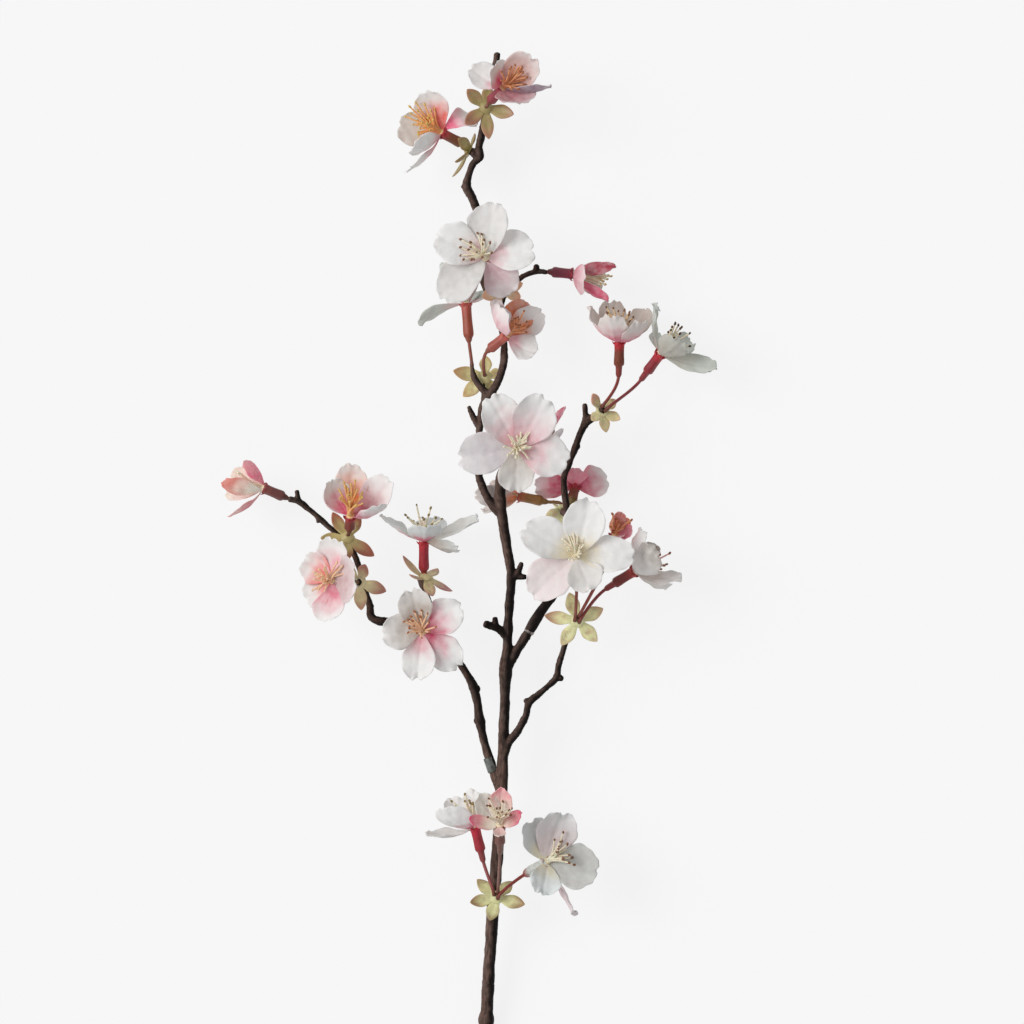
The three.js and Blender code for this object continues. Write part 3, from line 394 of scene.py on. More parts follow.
# For each flower: how many stamens, their length in mm, how wide they spread in degrees, the
# colours of filaments and anthers, and the [x, y] places on the sheet of the anthers that
# stand out.
STAMENS = {
    "top_right": (18, 10.5, 40, "orange", "rust", [
        [515, 68], [522, 64], [529, 66], [533, 74], [527, 80], [519, 76], [510, 72], [531, 81]]),
    "top_left": (32, 9.5, 48, "yolk", "honey", [
        [410, 108], [425, 106], [414, 126], [418, 112], [431, 112], [406, 118], [422, 120],
        [416, 104], [428, 118], [411, 115]]),
    "crown": (18, 8.5, 50, "cream", "brown", [
        [461, 241], [461, 249], [461, 257], [464, 261], [471, 244], [471, 249], [477, 254],
        [478, 235], [482, 236], [483, 246]]),
    "right_bud": (14, 13, 24, "cream", "tan", [
        [611, 277], [603, 282], [606, 272], [607, 280], [600, 276]]),
    "crown_low": (14, 8.5, 36, "orange", "rust", [[518, 318], [524, 312], [512, 322], [520, 326]]),
    "crown_back": (8, 6, 30, "cream", "brown", []),
    "right_cup": (14, 11.5, 30, "tan", "brown", [
        [606, 308], [613, 309], [624, 311], [629, 313], [618, 312]]),
    "right_outer": (14, 12, 24, "cream", "dark", [
        [674, 325], [681, 328], [689, 334], [689, 347], [675, 344], [670, 331]]),
    "centre": (26, 6.0, 60, "cream", "cream", [
        [512, 438], [526, 442], [525, 448], [537, 424], [530, 430], [522, 428], [509, 436]]),
    "centre_bud": (5, 7, 14, "shell", "brown", []),
    "right_back": (8, 4, 30, "cream", "brown", []),
    "stem_back": (10, 7, 34, "cream", "brown", []),
    "middle": (22, 6.5, 42, "cream", "cream", [
        [566, 531], [572, 528], [578, 532], [563, 539], [584, 538], [570, 536], [577, 540],
        [565, 545], [583, 545], [571, 545], [579, 548]]),
    "small_bud": (8, 6.5, 40, "orange", "rust", [[612, 514], [631, 520]]),
    "low_right": (12, 11.5, 34, "shell", "brown", [[669, 553], [666, 564], [655, 548]]),
    "left_bud": (10, 11, 22, "cream", "cream", [[236, 478], [242, 474]]),
    "left_high": (20, 11.5, 34, "yolk", "honey", [
        [340, 490], [345, 483], [352, 485], [358, 490], [349, 495], [356, 481]]),
    "left_mid": (18, 7.5, 50, "peach", "peach", [[343, 566], [349, 572], [345, 560], [338, 562]]),
    "left_inner": (14, 10.5, 38, "cream", "olive", [
        [406, 515], [417, 505], [431, 508], [442, 519], [414, 521]]),
    "left_front": (18, 8.0, 45, "peach", "rust", [
        [403, 615], [412, 616], [422, 610], [410, 626], [405, 621], [415, 611], [409, 619],
        [428, 613]]),
    "base_left": (12, 10, 34, "cream", "olive", [[452, 800], [465, 800], [465, 793]]),
    "base_centre": (14, 8.5, 40, "cream", "brown", [
        [489, 797], [490, 804], [500, 806], [502, 810], [509, 808], [497, 815], [488, 815]]),
    "base_right": (18, 10.5, 36, "cream", "brown", [
        [563, 831], [560, 840], [558, 847], [563, 856], [569, 853], [569, 861], [574, 863]]),
}
# The plastics of the filaments and the anthers.
PLASTICS = {
    "orange": "#eeaa7c", "yolk": "#f4ba78", "cream": "#f1e6cc", "shell": "#f0c4b8",
    "peach": "#f3c9a4", "honey": "#dcb868", "tan": "#dcbf94", "brown": "#84583a", "dark": "#4e3626",
    "rust": "#b06c44", "olive": "#8a7440",
}

# For each flower: the paint of its calyx at the flower, along the tube, and at the collar.
CALYX_PAINT = {
    "top_right": ("#a43c4c", "#96424c", "#8c5a4c"), "top_left": ("#b83c44", "#7c4a30", "#8a8048"),
    "crown": ("#a04038", "#80402c", "#8a6040"), "right_bud": ("#8c3040", "#823644", "#6e3436"),
    "crown_low": ("#c46a5c", "#a4584c", "#8c5244"), "crown_back": ("#b4584c", "#9c4c38", "#8c4c3c"),
    "right_cup": ("#c42838", "#7a3c26", "#8a3c34"),
    "right_outer": ("#c02c3c", "#8c2830", "#8a3438"), "centre": ("#a04038", "#80402c", "#8a6040"),
    "centre_bud": ("#a83040", "#8c3038", "#7c4034"),
    "right_back": ("#a02034", "#7c4430", "#8a7648"), "stem_back": ("#b06040", "#8a6030", "#7a5a34"),
    "middle": ("#a04038", "#80402c", "#9a5a4c"), "small_bud": ("#b03c30", "#8c3c2c", "#9a5048"),
    "low_right": ("#a84038", "#7c3430", "#8c3c3a"), "left_bud": ("#8c4c48", "#6c3c38", "#5c3630"),
    "left_high": ("#a83c3c", "#7c3a30", "#6c4434"), "left_mid": ("#a04038", "#7c5a40", "#7a6a40"),
    "left_inner": ("#b82c38", "#9c2832", "#883024"),
    "left_front": ("#a04038", "#80402c", "#8a6040"), "base_left": ("#c82c44", "#a42c38", "#8c4240"),
    "base_centre": ("#8c5048", "#7a5048", "#7c5a50"),
    "base_right": ("#ccd0c8", "#c6c8c2", "#8c3a34"),
}
# How long a calyx looks, in mm, where its tube runs on along the stalk.
LONG_TUBES = {"left_inner": 10.6, "crown_back": 12.2}
# The radius of the bead at the foot of a calyx, in mm, where there is one.
BEADS = {"base_right": 1.7, "crown_back": 1.25}

# For each bract: the paint of its middle and of its tips, how far the tips' paint comes in, and
# by lobe number any where that differs.
LOBE_PAINT = {
    "top": ("#a89a66", "#b48068", 0.6, {1: 0.4, 3: 0.7, 4: 1.0}),
    "top_left": ("#a6985c", "#94664a", 0.5, {}),
    "crown": ("#f0dab6", "#ecb898", 0.75, {}),
    "crook": ("#dcd298", "#b88c60", 0.45, {0: 0.7, 1: 0.6}),
    "right": ("#dcd2a0", "#dca890", 0.45, {0: 0.9}),
    "right_back": ("#d0ce9c", "#cc9c84", 0.45, {}),
    "low_right": ("#e2e0ac", "#b4826a", 0.4, {1: 0.7, 2: 0.45, 4: 0.55}),
    "left_high": ("#beb078", "#a8644e", 0.75, {2: 1.0, 4: 0.3}),
    "left_mid": ("#e8dcae", "#c68c7a", 0.6, {0: 0.9, 1: 0.8}),
    "left_inner": ("#cabc8c", "#a8706c", 0.6, {3: 0.95}),
    "base": ("#d8d6a0", "#96704e", 0.5, {0: 0.7, 1: 0.55, 2: 0.7, 3: 0.55}),
}
# The bracts whose peg shows through, bare.
BARE_PEGS = ("right", "left_mid")


# ---------------------------------------------------------------- helpers
# Seams and poles closer than this are merged.
WELD = 0.002 * MM
# No length that is divided by is taken as less than this, in metres.
SHORTEST = 1e-9
# How a path's rounded end slims: at the first share of the way to its end, the radius is still
# the second share of what it was.
SHOULDER, SLIMMED = 0.75, 0.65


def linear(code, alpha=1.0):
    """A hex sRGB colour as linear RGBA."""
    parts = [int(code[i:i + 2], 16) / 255 for i in (1, 3, 5)]
    return tuple(p / 12.92 if p <= 0.04045 else ((p + 0.055) / 1.055) ** 2.4 for p in parts) + (alpha,)


def lerp(a, b, share):
    return a + (b - a) * share


def smoothstep(value, low, high):
    share = min(max((value - low) / (high - low), 0.0), 1.0)
    return share * share * (3 - 2 * share)


def blend_paint(a, b, share):
    return tuple(lerp(p, q, share) for p, q in zip(a, b))


def place(spot):
    """A place on the layout sheet, in metres."""
    return Vector((spot[0] - SHEET_X, SHEET_Y - spot[1], spot[2])) * STEP


def turn_to(faces):
    """The way something faces, and the smallest turn that takes +Z there."""
    way = Vector(faces).normalized()
    return way, UP.rotation_difference(way)


def ring_spot(radius, angle, height):
    """A spot on a ring round +Z."""
    return Vector((radius * math.cos(angle), radius * math.sin(angle), height))


def smoothed(faces):
    for face in faces:
        face.smooth = True


def faces_of(verts):
    return {face for vert in verts for face in vert.link_faces}


def add_sheet(bm, across, along, shape):
    """A grid of faces bent by shape(u, v), with u and v from 0 to 1, which its UV map holds.
    Gives each vertex's (u, v)."""
    verts = bmesh.ops.create_grid(bm, x_segments=across, y_segments=along, size=0.5)["verts"]
    uv_map = bm.loops.layers.uv.verify()
    spots = {vert: (vert.co.x + 0.5, vert.co.y + 0.5) for vert in verts}
    for face in faces_of(verts):
        face.smooth = True
        for loop in face.loops:
            loop[uv_map].uv = spots[loop.vert]
    for vert, (u, v) in spots.items():
        vert.co = shape(u, v)
    return spots


def float_layer(bm, name):
    return bm.verts.layers.float_color.get(name) or bm.verts.layers.float_color.new(name)


def round_ended(points, radii, blunt):
    """Adds rounded ends to a path, as points past its ends where its radius falls to nothing."""
    first, last = (points[0] - points[1]).normalized(), (points[-1] - points[-2]).normalized()
    r, s = radii[0], radii[-1]
    head = [points[0] + first * r * blunt, points[0] + first * r * blunt * SHOULDER]
    tail = [points[-1] + last * s * blunt * SHOULDER, points[-1] + last * s * blunt]
    return head + list(points) + tail, [0, r * SLIMMED] + list(radii) + [s * SLIMMED, 0]


def way_at(points, i):
    """The way a path runs at its point i."""
    return (points[min(i + 1, len(points) - 1)] - points[max(i - 1, 0)]).normalized()


def add_tube(bm, points, radii, sides, ridge=None, blunt=0.5):
    """A round bar along points: a grid wrapped about the path, closed at its seam and ends."""
    points, radii = round_ended(points, radii, blunt)
    frames = []
    for i in range(len(points)):
        way = way_at(points, i)
        if not frames:
            normal = way.orthogonal().normalized()
        else:
            normal = frames[-1][0].rotation_difference(way) @ frames[-1][1]
        frames.append((way, normal, way.cross(normal)))

    def shape(u, v):
        i = round(v * (len(points) - 1))
        angle = u * math.tau
        radius = radii[i] * (ridge(angle) if ridge else 1)
        _, normal, binormal = frames[i]
        return points[i] + (normal * math.cos(angle) + binormal * math.sin(angle)) * radius

    return add_sheet(bm, sides, len(points) - 1, shape)


def smooth_path(run, pitch):
    """A smooth curve through [x, y, z, radius] points of the sheet, as points and radii about
    pitch apart."""
    knots = [place(spot) for spot in run]
    sizes = [spot[3] * STEP for spot in run]
    ghosts = [knots[0] * 2 - knots[1]] + knots + [knots[-1] * 2 - knots[-2]]
    points, radii = [], []
    for i in range(len(knots) - 1):
        a, b, c, d = ghosts[i:i + 4]
        ab, bc, cd = (math.sqrt(max((q - p).length, SHORTEST)) for p, q in ((a, b), (b, c), (c, d)))
        leave = ((b - a) / ab - (c - a) / (ab + bc) + (c - b) / bc) * bc
        arrive = ((c - b) / bc - (d - b) / (bc + cd) + (d - c) / cd) * bc
        steps = max(1, round((c - b).length / pitch))
        for k in range(steps):
            t = k / steps
            t2, t3 = t * t, t * t * t
            points.append(b * (2 * t3 - 3 * t2 + 1) + leave * (t3 - 2 * t2 + t)
                          + c * (3 * t2 - 2 * t3) + arrive * (t3 - t2))
            radii.append(lerp(sizes[i], sizes[i + 1], smoothstep(t, 0, 1)))
    return points + [knots[-1]], radii + [sizes[-1]]


def bezier(a, b, c, d, count):
    """Points in count steps along a curve from a to d, drawn towards b and c."""
    spots = []
    for i in range(count + 1):
        t = i / count
        s = 1 - t
        spots.append(a * s ** 3 + b * 3 * s * s * t + c * 3 * s * t * t + d * t ** 3)
    return spots


def finished(name, bm, materials, slot, *nodes):
    """The piece as an object at the origin, riding on the sprig's one body."""
    mesh = bpy.data.meshes.new(name)
    bm.to_mesh(mesh)
    bm.free()
    piece = bpy.data.objects.new(name, mesh)
    bpy.context.scene.collection.objects.link(piece)
    for material in materials:
        mesh.materials.append(material)
    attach(piece, "root")
    if nodes:
        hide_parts(*nodes)
    return piece


def sealed(bm):
    """Merges seams and poles and points the faces outwards."""
    bmesh.ops.remove_doubles(bm, verts=bm.verts[:], dist=WELD)
    bmesh.ops.recalc_face_normals(bm, faces=bm.faces[:])


# ---------------------------------------------------------------- materials
# Pattern scales, in features to a metre: crumples 4 mm across, blotches of dye 2.4 mm across
# and mottling of the bark 3 mm across.
PER_METRE = {"crumples": 260.0, "blotches": 420.0, "mottling": 330.0}
# Veins: how many to a petal's width, and how they waver along it. They fan out from a point
# this share of the petal's length behind its throat.
VEINS = (13, 1.1, 1)
FAN_BACK = 0.35
# The threads are 0.15 mm apart; this scale draws them 0.45 mm apart, the finest that shows.
THREAD_SCALE = 0.7
# How much a flecked plastic's roughness varies, and how its mould marks run along it.
SATIN_SPREAD = 0.12
MARKS_ALONG = 1.2


def add_node(tree, kind, values=None, links=None, **settings):
    """A node with its settings, its sockets' values and the outputs that feed it."""
    node = tree.nodes.new("ShaderNode" + kind)
    for key, value in settings.items():
        setattr(node, key, value)
    for socket, value in (values or {}).items():
        node.inputs[socket].default_value = value
    for socket, source in (links or {}).items():
        tree.links.new(source, node.inputs[socket])
    return node


def new_material(name, values):
    material = bpy.data.materials.new(name)
    material.use_nodes = True
    tree = material.node_tree
    shader = tree.nodes["Principled BSDF"]
    for socket, value in values.items():
        shader.inputs[socket].default_value = value
    return material, tree, shader


def dress(tree, shader, colour, rough, bump):
    """Feeds the shader its colour, its roughness and its bumps."""
    for socket, source in (("Base Color", colour), ("Roughness", rough), ("Normal", bump)):
        tree.links.new(source, shader.inputs[socket])


def petal_cloth(name, paint_layer):
    """Die-cut polyester satin, starched and heat-pressed: matt, a little see-through at grazing
    light, with airbrushed dye that thins out from the throat, pressed veins and soft crumples.
    The veins are painted a little darker, as painted shade, and some of the paint layers carry
    painted shade."""
    material, tree, shader = new_material(name, {
        "IOR": 1.45, "Specular IOR Level": 0.25, "Sheen Weight": 0.12, "Sheen Roughness": 0.6,
        "Subsurface Weight": 0.12, "Subsurface Radius": (1.0, 0.8, 0.75),
        "Subsurface Scale": 0.6 * MM})
    uv = add_node(tree, "UVMap", uv_map="UVMap").outputs["UV"]
    parts = add_node(tree, "SeparateXYZ", links={0: uv})
    middle = add_node(tree, "Math", {1: 0.5}, {0: parts.outputs["X"]}, operation="SUBTRACT")
    spread = add_node(tree, "Math", {1: FAN_BACK}, {0: parts.outputs["Y"]}, operation="ADD")
    fan = add_node(tree, "Math", links={0: middle.outputs[0], 1: spread.outputs[0]},
                   operation="DIVIDE")
    ray = add_node(tree, "CombineXYZ", links={0: fan.outputs[0], 1: parts.outputs["Y"]})
    vein_place = add_node(tree, "Mapping", {"Scale": VEINS}, {"Vector": ray.outputs[0]})
    veins = add_node(tree, "TexNoise", {"Scale": 1.0, "Detail": 3.0, "Roughness": 0.55},
                     {"Vector": vein_place.outputs[0]}).outputs["Fac"]
    position = add_node(tree, "TexCoord").outputs["Object"]
    crumple = add_node(tree, "TexNoise", {"Scale": PER_METRE["crumples"], "Detail": 2.0},
                       {"Vector": position})
    thread_uv = add_node(tree, "Attribute", attribute_name="threads").outputs["Vector"]
    warp, weft = (
        add_node(tree, "TexWave", {"Scale": THREAD_SCALE}, {"Vector": thread_uv},
                 wave_type="BANDS", bands_direction=way) for way in "XY")
    weave = add_node(tree, "Math", links={0: warp.outputs["Fac"], 1: weft.outputs["Fac"]},
                     operation="MULTIPLY")
    # Airbrushed dye, and painted shade laid on the same way, blotchy where it thins and stronger in the
    # veins.
    dye = add_node(tree, "Attribute", attribute_name=paint_layer)
    cloth = add_node(tree, "Attribute", attribute_name="cloth").outputs["Color"]
    blotch = add_node(tree, "TexNoise", {"Scale": PER_METRE["blotches"], "Detail": 3.0},
                      {"Vector": position}).outputs["Fac"]
    blotchy = add_node(
        tree, "MapRange", {"From Min": 0.25, "From Max": 0.75, "To Min": 0.72, "To Max": 1.2},
        {"Value": blotch})
    veined = add_node(
        tree, "MapRange", {"From Min": 0.3, "From Max": 0.7, "To Min": 0.8, "To Max": 1.18},
        {"Value": veins})
    uneven = add_node(tree, "Math", links={0: blotchy.outputs[0], 1: veined.outputs[0]},
                      operation="MULTIPLY")
    strength = add_node(tree, "Math", links={0: dye.outputs["Alpha"], 1: uneven.outputs[0]},
                        operation="MULTIPLY", use_clamp=True)
    dyed = add_node(tree, "Mix", links={0: strength.outputs[0], 6: cloth, 7: dye.outputs["Color"]},
                    data_type="RGBA")
    # Painted shade: the pressed veins are painted a little darker than the cloth between them.
    shade = add_node(
        tree, "MapRange", {"From Min": 0.3, "From Max": 0.62, "To Min": 0.86, "To Max": 1.0},
        {"Value": veins})
    shaded = add_node(tree, "Mix", {0: 1.0}, {6: dyed.outputs[2], 7: shade.outputs[0]},
                      data_type="RGBA", blend_type="MULTIPLY")
    rough = add_node(tree, "MapRange", {"To Min": 0.62, "To Max": 0.85}, {"Value": blotch})
    bump = add_node(tree, "Bump", {"Strength": 0.45, "Distance": 0.8 * MM},
                    {"Height": crumple.outputs["Fac"]})
    bump = add_node(tree, "Bump", {"Strength": 0.5, "Distance": 0.3 * MM},
                    {"Height": veins, "Normal": bump.outputs[0]})
    bump = add_node(tree, "Bump", {"Strength": 0.15, "Distance": 0.05 * MM},
                    {"Height": weave.outputs[0], "Normal": bump.outputs[0]})
    dress(tree, shader, shaded.outputs[2], rough.outputs[0], bump.outputs[0])
    return material


def moulded_plastic(name, fleck, ridges, roughness, values):
    """Soft moulded polyethylene with brushed-on paint: the paint layer "dye" gives its colour,
    flecks of fleck millimetres break it up, and ridges run along it where the mould had them."""
    material, tree, shader = new_material(name, values)
    dye = add_node(tree, "Attribute", attribute_name="dye").outputs["Color"]
    position = add_node(tree, "TexCoord").outputs["Object"]
    flecks = add_node(tree, "TexNoise", {"Scale": 1000.0 / fleck, "Detail": 4.0, "Roughness": 0.6},
                      {"Vector": position}).outputs["Fac"]
    uneven = add_node(
        tree, "MapRange", {"From Min": 0.3, "From Max": 0.7, "To Min": 0.82, "To Max": 1.15},
        {"Value": flecks})
    colour = add_node(tree, "Mix", {0: 1.0}, {6: dye, 7: uneven.outputs[0]},
                      data_type="RGBA", blend_type="MULTIPLY")
    rough = add_node(
        tree, "MapRange", {"To Min": roughness - SATIN_SPREAD, "To Max": roughness + SATIN_SPREAD},
        {"Value": flecks})
    bump = add_node(tree, "Bump", {"Strength": 0.35, "Distance": 0.2 * MM}, {"Height": flecks})
    if ridges:
        uv = add_node(tree, "UVMap", uv_map="UVMap").outputs["UV"]
        lines = add_node(tree, "Mapping", {"Scale": (ridges, MARKS_ALONG, 1)}, {"Vector": uv})
        grooves = add_node(tree, "TexNoise", {"Scale": 1.0, "Detail": 2.0},
                           {"Vector": lines.outputs[0]})
        bump = add_node(tree, "Bump", {"Strength": 0.6, "Distance": 0.2 * MM},
                        {"Height": grooves.outputs["Fac"], "Normal": bump.outputs[0]})
    dress(tree, shader, colour.outputs[2], rough.outputs[0], bump.outputs[0])
    return material


def moulded_bark():
    """Polyethylene moulded from a real branch and rubbed with dark stain: near black in the lengthwise
    cracks, dusty where it was wiped, with a dull shine, and painted lighter, grey-brown, on the side
    that faces the light and near black, as painted shade, on the side away from it."""
    material, tree, shader = new_material("moulded_bark", {"IOR": 1.5, "Specular IOR Level": 0.15})
    grain = add_node(tree, "Attribute", attribute_name="grain").outputs["Vector"]
    position = add_node(tree, "TexCoord").outputs["Object"]
    # The grain layer stretches the cracks along each branch.
    cracks = add_node(tree, "TexNoise", {"Scale": 1.0, "Detail": 5.0, "Roughness": 0.65},
                      {"Vector": grain}).outputs["Fac"]
    wiped = add_node(tree, "TexNoise", {"Scale": PER_METRE["mottling"], "Detail": 3.0},
                     {"Vector": position})
    stain = add_node(tree, "ValToRGB", links={0: cracks})
    ramp = stain.color_ramp
    ramp.elements[0].position, ramp.elements[0].color = 0.3, linear("#2c1f1a")
    ramp.elements[1].position, ramp.elements[1].color = 0.7, linear("#84695e")
    ramp.elements.new(0.48).color = linear("#58443c")
    dust = add_node(
        tree, "MapRange", {"From Min": 0.45, "From Max": 0.75, "To Min": 0.0, "To Max": 0.5},
        {"Value": wiped.outputs["Fac"]})
    dusted = add_node(tree, "Mix", {7: linear("#74645c")},
                      {0: dust.outputs[0], 6: stain.outputs[0]}, data_type="RGBA")
    # Painted light and shade: near black on the side turned away from the light, the stained colour on
    # the side turned towards it, as the attribute read here gives.
    lit_and_worn = add_node(tree, "Attribute", attribute_name="lit_and_worn")
    with_painted_shade = add_node(tree, "Mix", {6: linear("#120b08")},
                       {0: lit_and_worn.outputs["Fac"], 7: dusted.outputs[2]}, data_type="RGBA")
    rough = add_node(tree, "MapRange", {"To Min": 0.5, "To Max": 0.82}, {"Value": cracks})
    bump = add_node(tree, "Bump", {"Strength": 0.7, "Distance": 0.4 * MM}, {"Height": cracks})
    dress(tree, shader, with_painted_shade.outputs[2], rough.outputs[0], bump.outputs[0])
    return material


PETAL_INNER = petal_cloth("petal_cloth_inner", "inner_paint")
PETAL_OUTER = petal_cloth("petal_cloth_outer", "outer_paint")
# Flexible stamens: satin, faintly see-through.
STAMEN_PLASTIC = moulded_plastic("moulded_stamen", 0.8, 0, 0.5, {
    "Subsurface Weight": 0.15, "Subsurface Scale": 0.8 * MM, "IOR": 1.5})
# Calyx and stalk: satin, with fine ribs.
CALYX_PLASTIC = moulded_plastic("moulded_calyx", 1.1, 14, 0.45, {
    "IOR": 1.5, "Specular IOR Level": 0.4})
# Bracts: waxy and thick, so light goes a little way in.
WAXY = moulded_plastic("waxy_bract", 4.5, 5, 0.42, {
    "IOR": 1.5, "Subsurface Weight": 0.2, "Subsurface Radius": (1.0, 0.9, 0.4),
    "Subsurface Scale": 1.2 * MM})
BARK = moulded_bark()


# ---------------------------------------------------------------- wood
WOOD = {"pitch": 0.8 * MM, "sides": 14, "voxel": 0.34 * MM, "peg": 1.5 * MM, "peg_tip": 0.95 * MM,
        "behind": 1.4 * MM, "proud": 0.5 * MM, "softenings": 3}
# The moulded grain, in millimetres: cracks narrow across the wood and long along it, lumps under
# them, and the patches in which the stain was wiped. Each run's grain starts shift millimetres
# further on for each point laid before it, so that no two runs have the same cracks.
GRAIN = {"wide": 0.5, "long": 4.5, "deep": 0.15, "lump": 4, "lump_high": 0.26,
         "patches": (2, 14), "shift": 3}
# The cracks' noise: how rough, how much finer each layer is, and how many layers.
CRACK_LAYERS = (0.8, 2.1, 3)
# How far apart in the noise the pieces of wood are taken.
GRAIN_STEP = (7.3, 3.1)
# Painted light and shade: the bark is painted lighter on the side that faces this way, towards the
# light, and near black on the other side, as painted shade.
LIT_SIDE = Vector((-0.82, 0.1, 0.5))
# How much random wiped patches and the stretches below shift that, where the painted light starts and
# where it is full.
LIGHT_AND_WEAR = {"patchy": 0.3, "from": -0.05, "full": 0.95, "stretches": 3}
# Stretches painted lighter or darker: [x, y] on the sheet, reach in steps, how much.
TONE_STRETCHES = [([503, 790], 40, 0.55), ([507, 610], 75, -0.4), ([548, 600], 45, -0.25),
          ([479, 705], 45, -0.15), ([506, 715], 22, -0.25), ([508, 358], 22, 0.3)]


def peg_run(bract):
    """The peg that a bract is threaded on, from inside the wood to just past the bract."""
    way, _ = turn_to(bract["faces"])
    hub = place(bract["at"])
    spots = [place(spot) for spot in bract["peg"]]
    return spots + [hub - way * WOOD["behind"], hub + way * WOOD["proud"]]


def bark_light_and_wear(vert, offset):
    """How light the bark is painted at a vertex, from 0 to 1: painted light and shade, and random wiped
    patches.
    """
    patch = sum(noise.noise(vert.co / (size * MM) - offset) for size in GRAIN["patches"])
    for spot, reach, much in TONE_STRETCHES:
        apart = (vert.co.xy - place((*spot, 0)).xy).length / STEP
        patch += LIGHT_AND_WEAR["stretches"] * much * math.exp(-(apart / reach) ** 2)
    return smoothstep(vert.normal.dot(LIT_SIDE) + LIGHT_AND_WEAR["patchy"] * patch, LIGHT_AND_WEAR["from"], LIGHT_AND_WEAR["full"])


def wood(node, runs, spurs, bracts, seed):
    """Branch, spurs and pegs fused into one bark skin, then cracked and lumped along its grain."""
    bm = bmesh.new()
    axis = []
    paths = [smooth_path(run, WOOD["pitch"]) for run in list(runs.values()) + spurs]
    for name in bracts:
        spots = peg_run(BRACTS[name])
        paths.append((spots, [WOOD["peg"]] * (len(spots) - 1) + [WOOD["peg_tip"]]))
    for points, radii in paths:
        add_tube(bm, points, radii, WOOD["sides"])
        travelled = len(axis) * GRAIN["shift"] * MM
        for i, point in enumerate(points):
            travelled += (point - points[i - 1]).length if i else 0
            axis.append((point, way_at(points, i), travelled))
    sealed(bm)
    piece = finished(node + "_bark", bm, [BARK], "bark", node)
    fuse = piece.modifiers.new("fuse", "REMESH")
    fuse.mode, fuse.voxel_size, fuse.use_smooth_shade = "VOXEL", WOOD["voxel"], True
    fused = bpy.data.meshes.new_from_object(piece.evaluated_get(bpy.context.evaluated_depsgraph_get()))
    piece.modifiers.remove(fuse)

    bm = bmesh.new()
    bm.from_mesh(fused)
    for _ in range(WOOD["softenings"]):
        bmesh.ops.smooth_vert(bm, verts=bm.verts[:], factor=0.5,
                              use_axis_x=True, use_axis_y=True, use_axis_z=True)
    tree = kdtree.KDTree(len(axis))
    for i, (point, _, _) in enumerate(axis):
        tree.insert(point, i)
    tree.balance()
    bm.normal_update()
    grain = bm.verts.layers.float_vector.new("grain")
    lit_and_worn = bm.verts.layers.float.new("lit_and_worn")
    offset = Vector((seed * GRAIN_STEP[0], seed * GRAIN_STEP[1], 0))
    moves = []
    for vert in bm.verts:
        _, i, _ = tree.find(vert.co)
        point, way, travelled = axis[i]
        radial = vert.co - point
        ahead = radial.dot(way)
        radial -= way * ahead
        # Across the branch the grain turns with the surface; along it, it is stretched.
        mark = radial / (GRAIN["wide"] * MM) + way * (travelled + ahead) / (GRAIN["long"] * MM)
        vert[grain] = mark + offset
        # Painted light and shade by the way the surface faces, shifted by random wiped patches.
        vert[lit_and_worn] = bark_light_and_wear(vert, offset)
        crack = noise.fractal(mark + offset, *CRACK_LAYERS)
        lump = noise.noise(vert.co / (GRAIN["lump"] * MM) + offset)
        height = crack * GRAIN["deep"] * MM + lump * GRAIN["lump_high"] * MM
        moves.append((vert, vert.normal * height))
    for vert, move in moves:
        vert.co += move
    smoothed(bm.faces)
    bm.to_mesh(piece.data)
    bm.free()
    piece.data.materials.clear()
    piece.data.materials.append(BARK)


# The ends of the twigs where they plug into the branch: the places on the sheet of a band's two
# ends, its radius in steps, and its paint.
JOINTS = {
    "left_twig_sleeve": ([492.9, 771, 42.2], [488.2, 757, 42.8], 5.0, "#686c67"),
    "right_twig_seam": ([528.6, 632.4, 45.2], [529.8, 630.4, 45.4], 5.2, "#b8aca6"),
}
# A band's faces, how far its ends bulge as a share of its radius, and the darker blotches on it: their
# size in millimetres, how much more of them lies towards +X, and where they are full.
BAND = {"along": 6, "around": 24, "bulge": 0.08, "blotch": 1.5, "lean": 0.3, "full": 0.6}
DARK_BLOTCH = "#3c322e"


def make_joint(name):
    """A band of bare plastic round a plugged joint, with darker blotches on it."""
    low, high, radius, paint = JOINTS[name]
    bm = bmesh.new()
    dye = float_layer(bm, "dye")
    low, high = place(low), place(high)
    points = [low.lerp(high, i / BAND["along"]) for i in range(BAND["along"] + 1)]
    radii = [radius * STEP] * len(points)
    for vert in add_tube(bm, points, radii, BAND["around"], blunt=BAND["bulge"]):
        blotch = noise.noise(vert.co / (BAND["blotch"] * MM)) + BAND["lean"] * vert.co.normalized().x
        vert[dye] = blend_paint(linear(paint), linear(DARK_BLOTCH), smoothstep(blotch, 0.0, BAND["full"]))
    sealed(bm)
    finished(name, bm, [CALYX_PLASTIC], "bark")


# ---------------------------------------------------------------- bracts
# A lobe of a bract, and a sepal at the rim of a calyx. Both bend back by belly, a share of their
# length, and curl up at their sides by cup; groove is the share of their thickness cut down
# their inner side.
LOBE = {"thick": 0.95 * MM, "belly": 0.08, "cup": 0.15, "groove": 0.3}
SEPAL = {"thick": 0.4 * MM, "belly": 0.1, "cup": 0.2, "groove": 0.2}
LOBE_ROOT = 1.3 * MM
LOBE_SLIM = 0.86
# A leaf's outline: how wide its root is, where it is widest, how it comes to its point and how
# full its sides are; how narrow its groove is, and its faces.
LEAF = {"root": 0.5, "widest": 0.5, "point": 1.7, "full": 0.8, "groove": 2.2, "around": 20, "along": 16}
# Leaves and petals start to widen this far before their root.
LEAD = -0.05
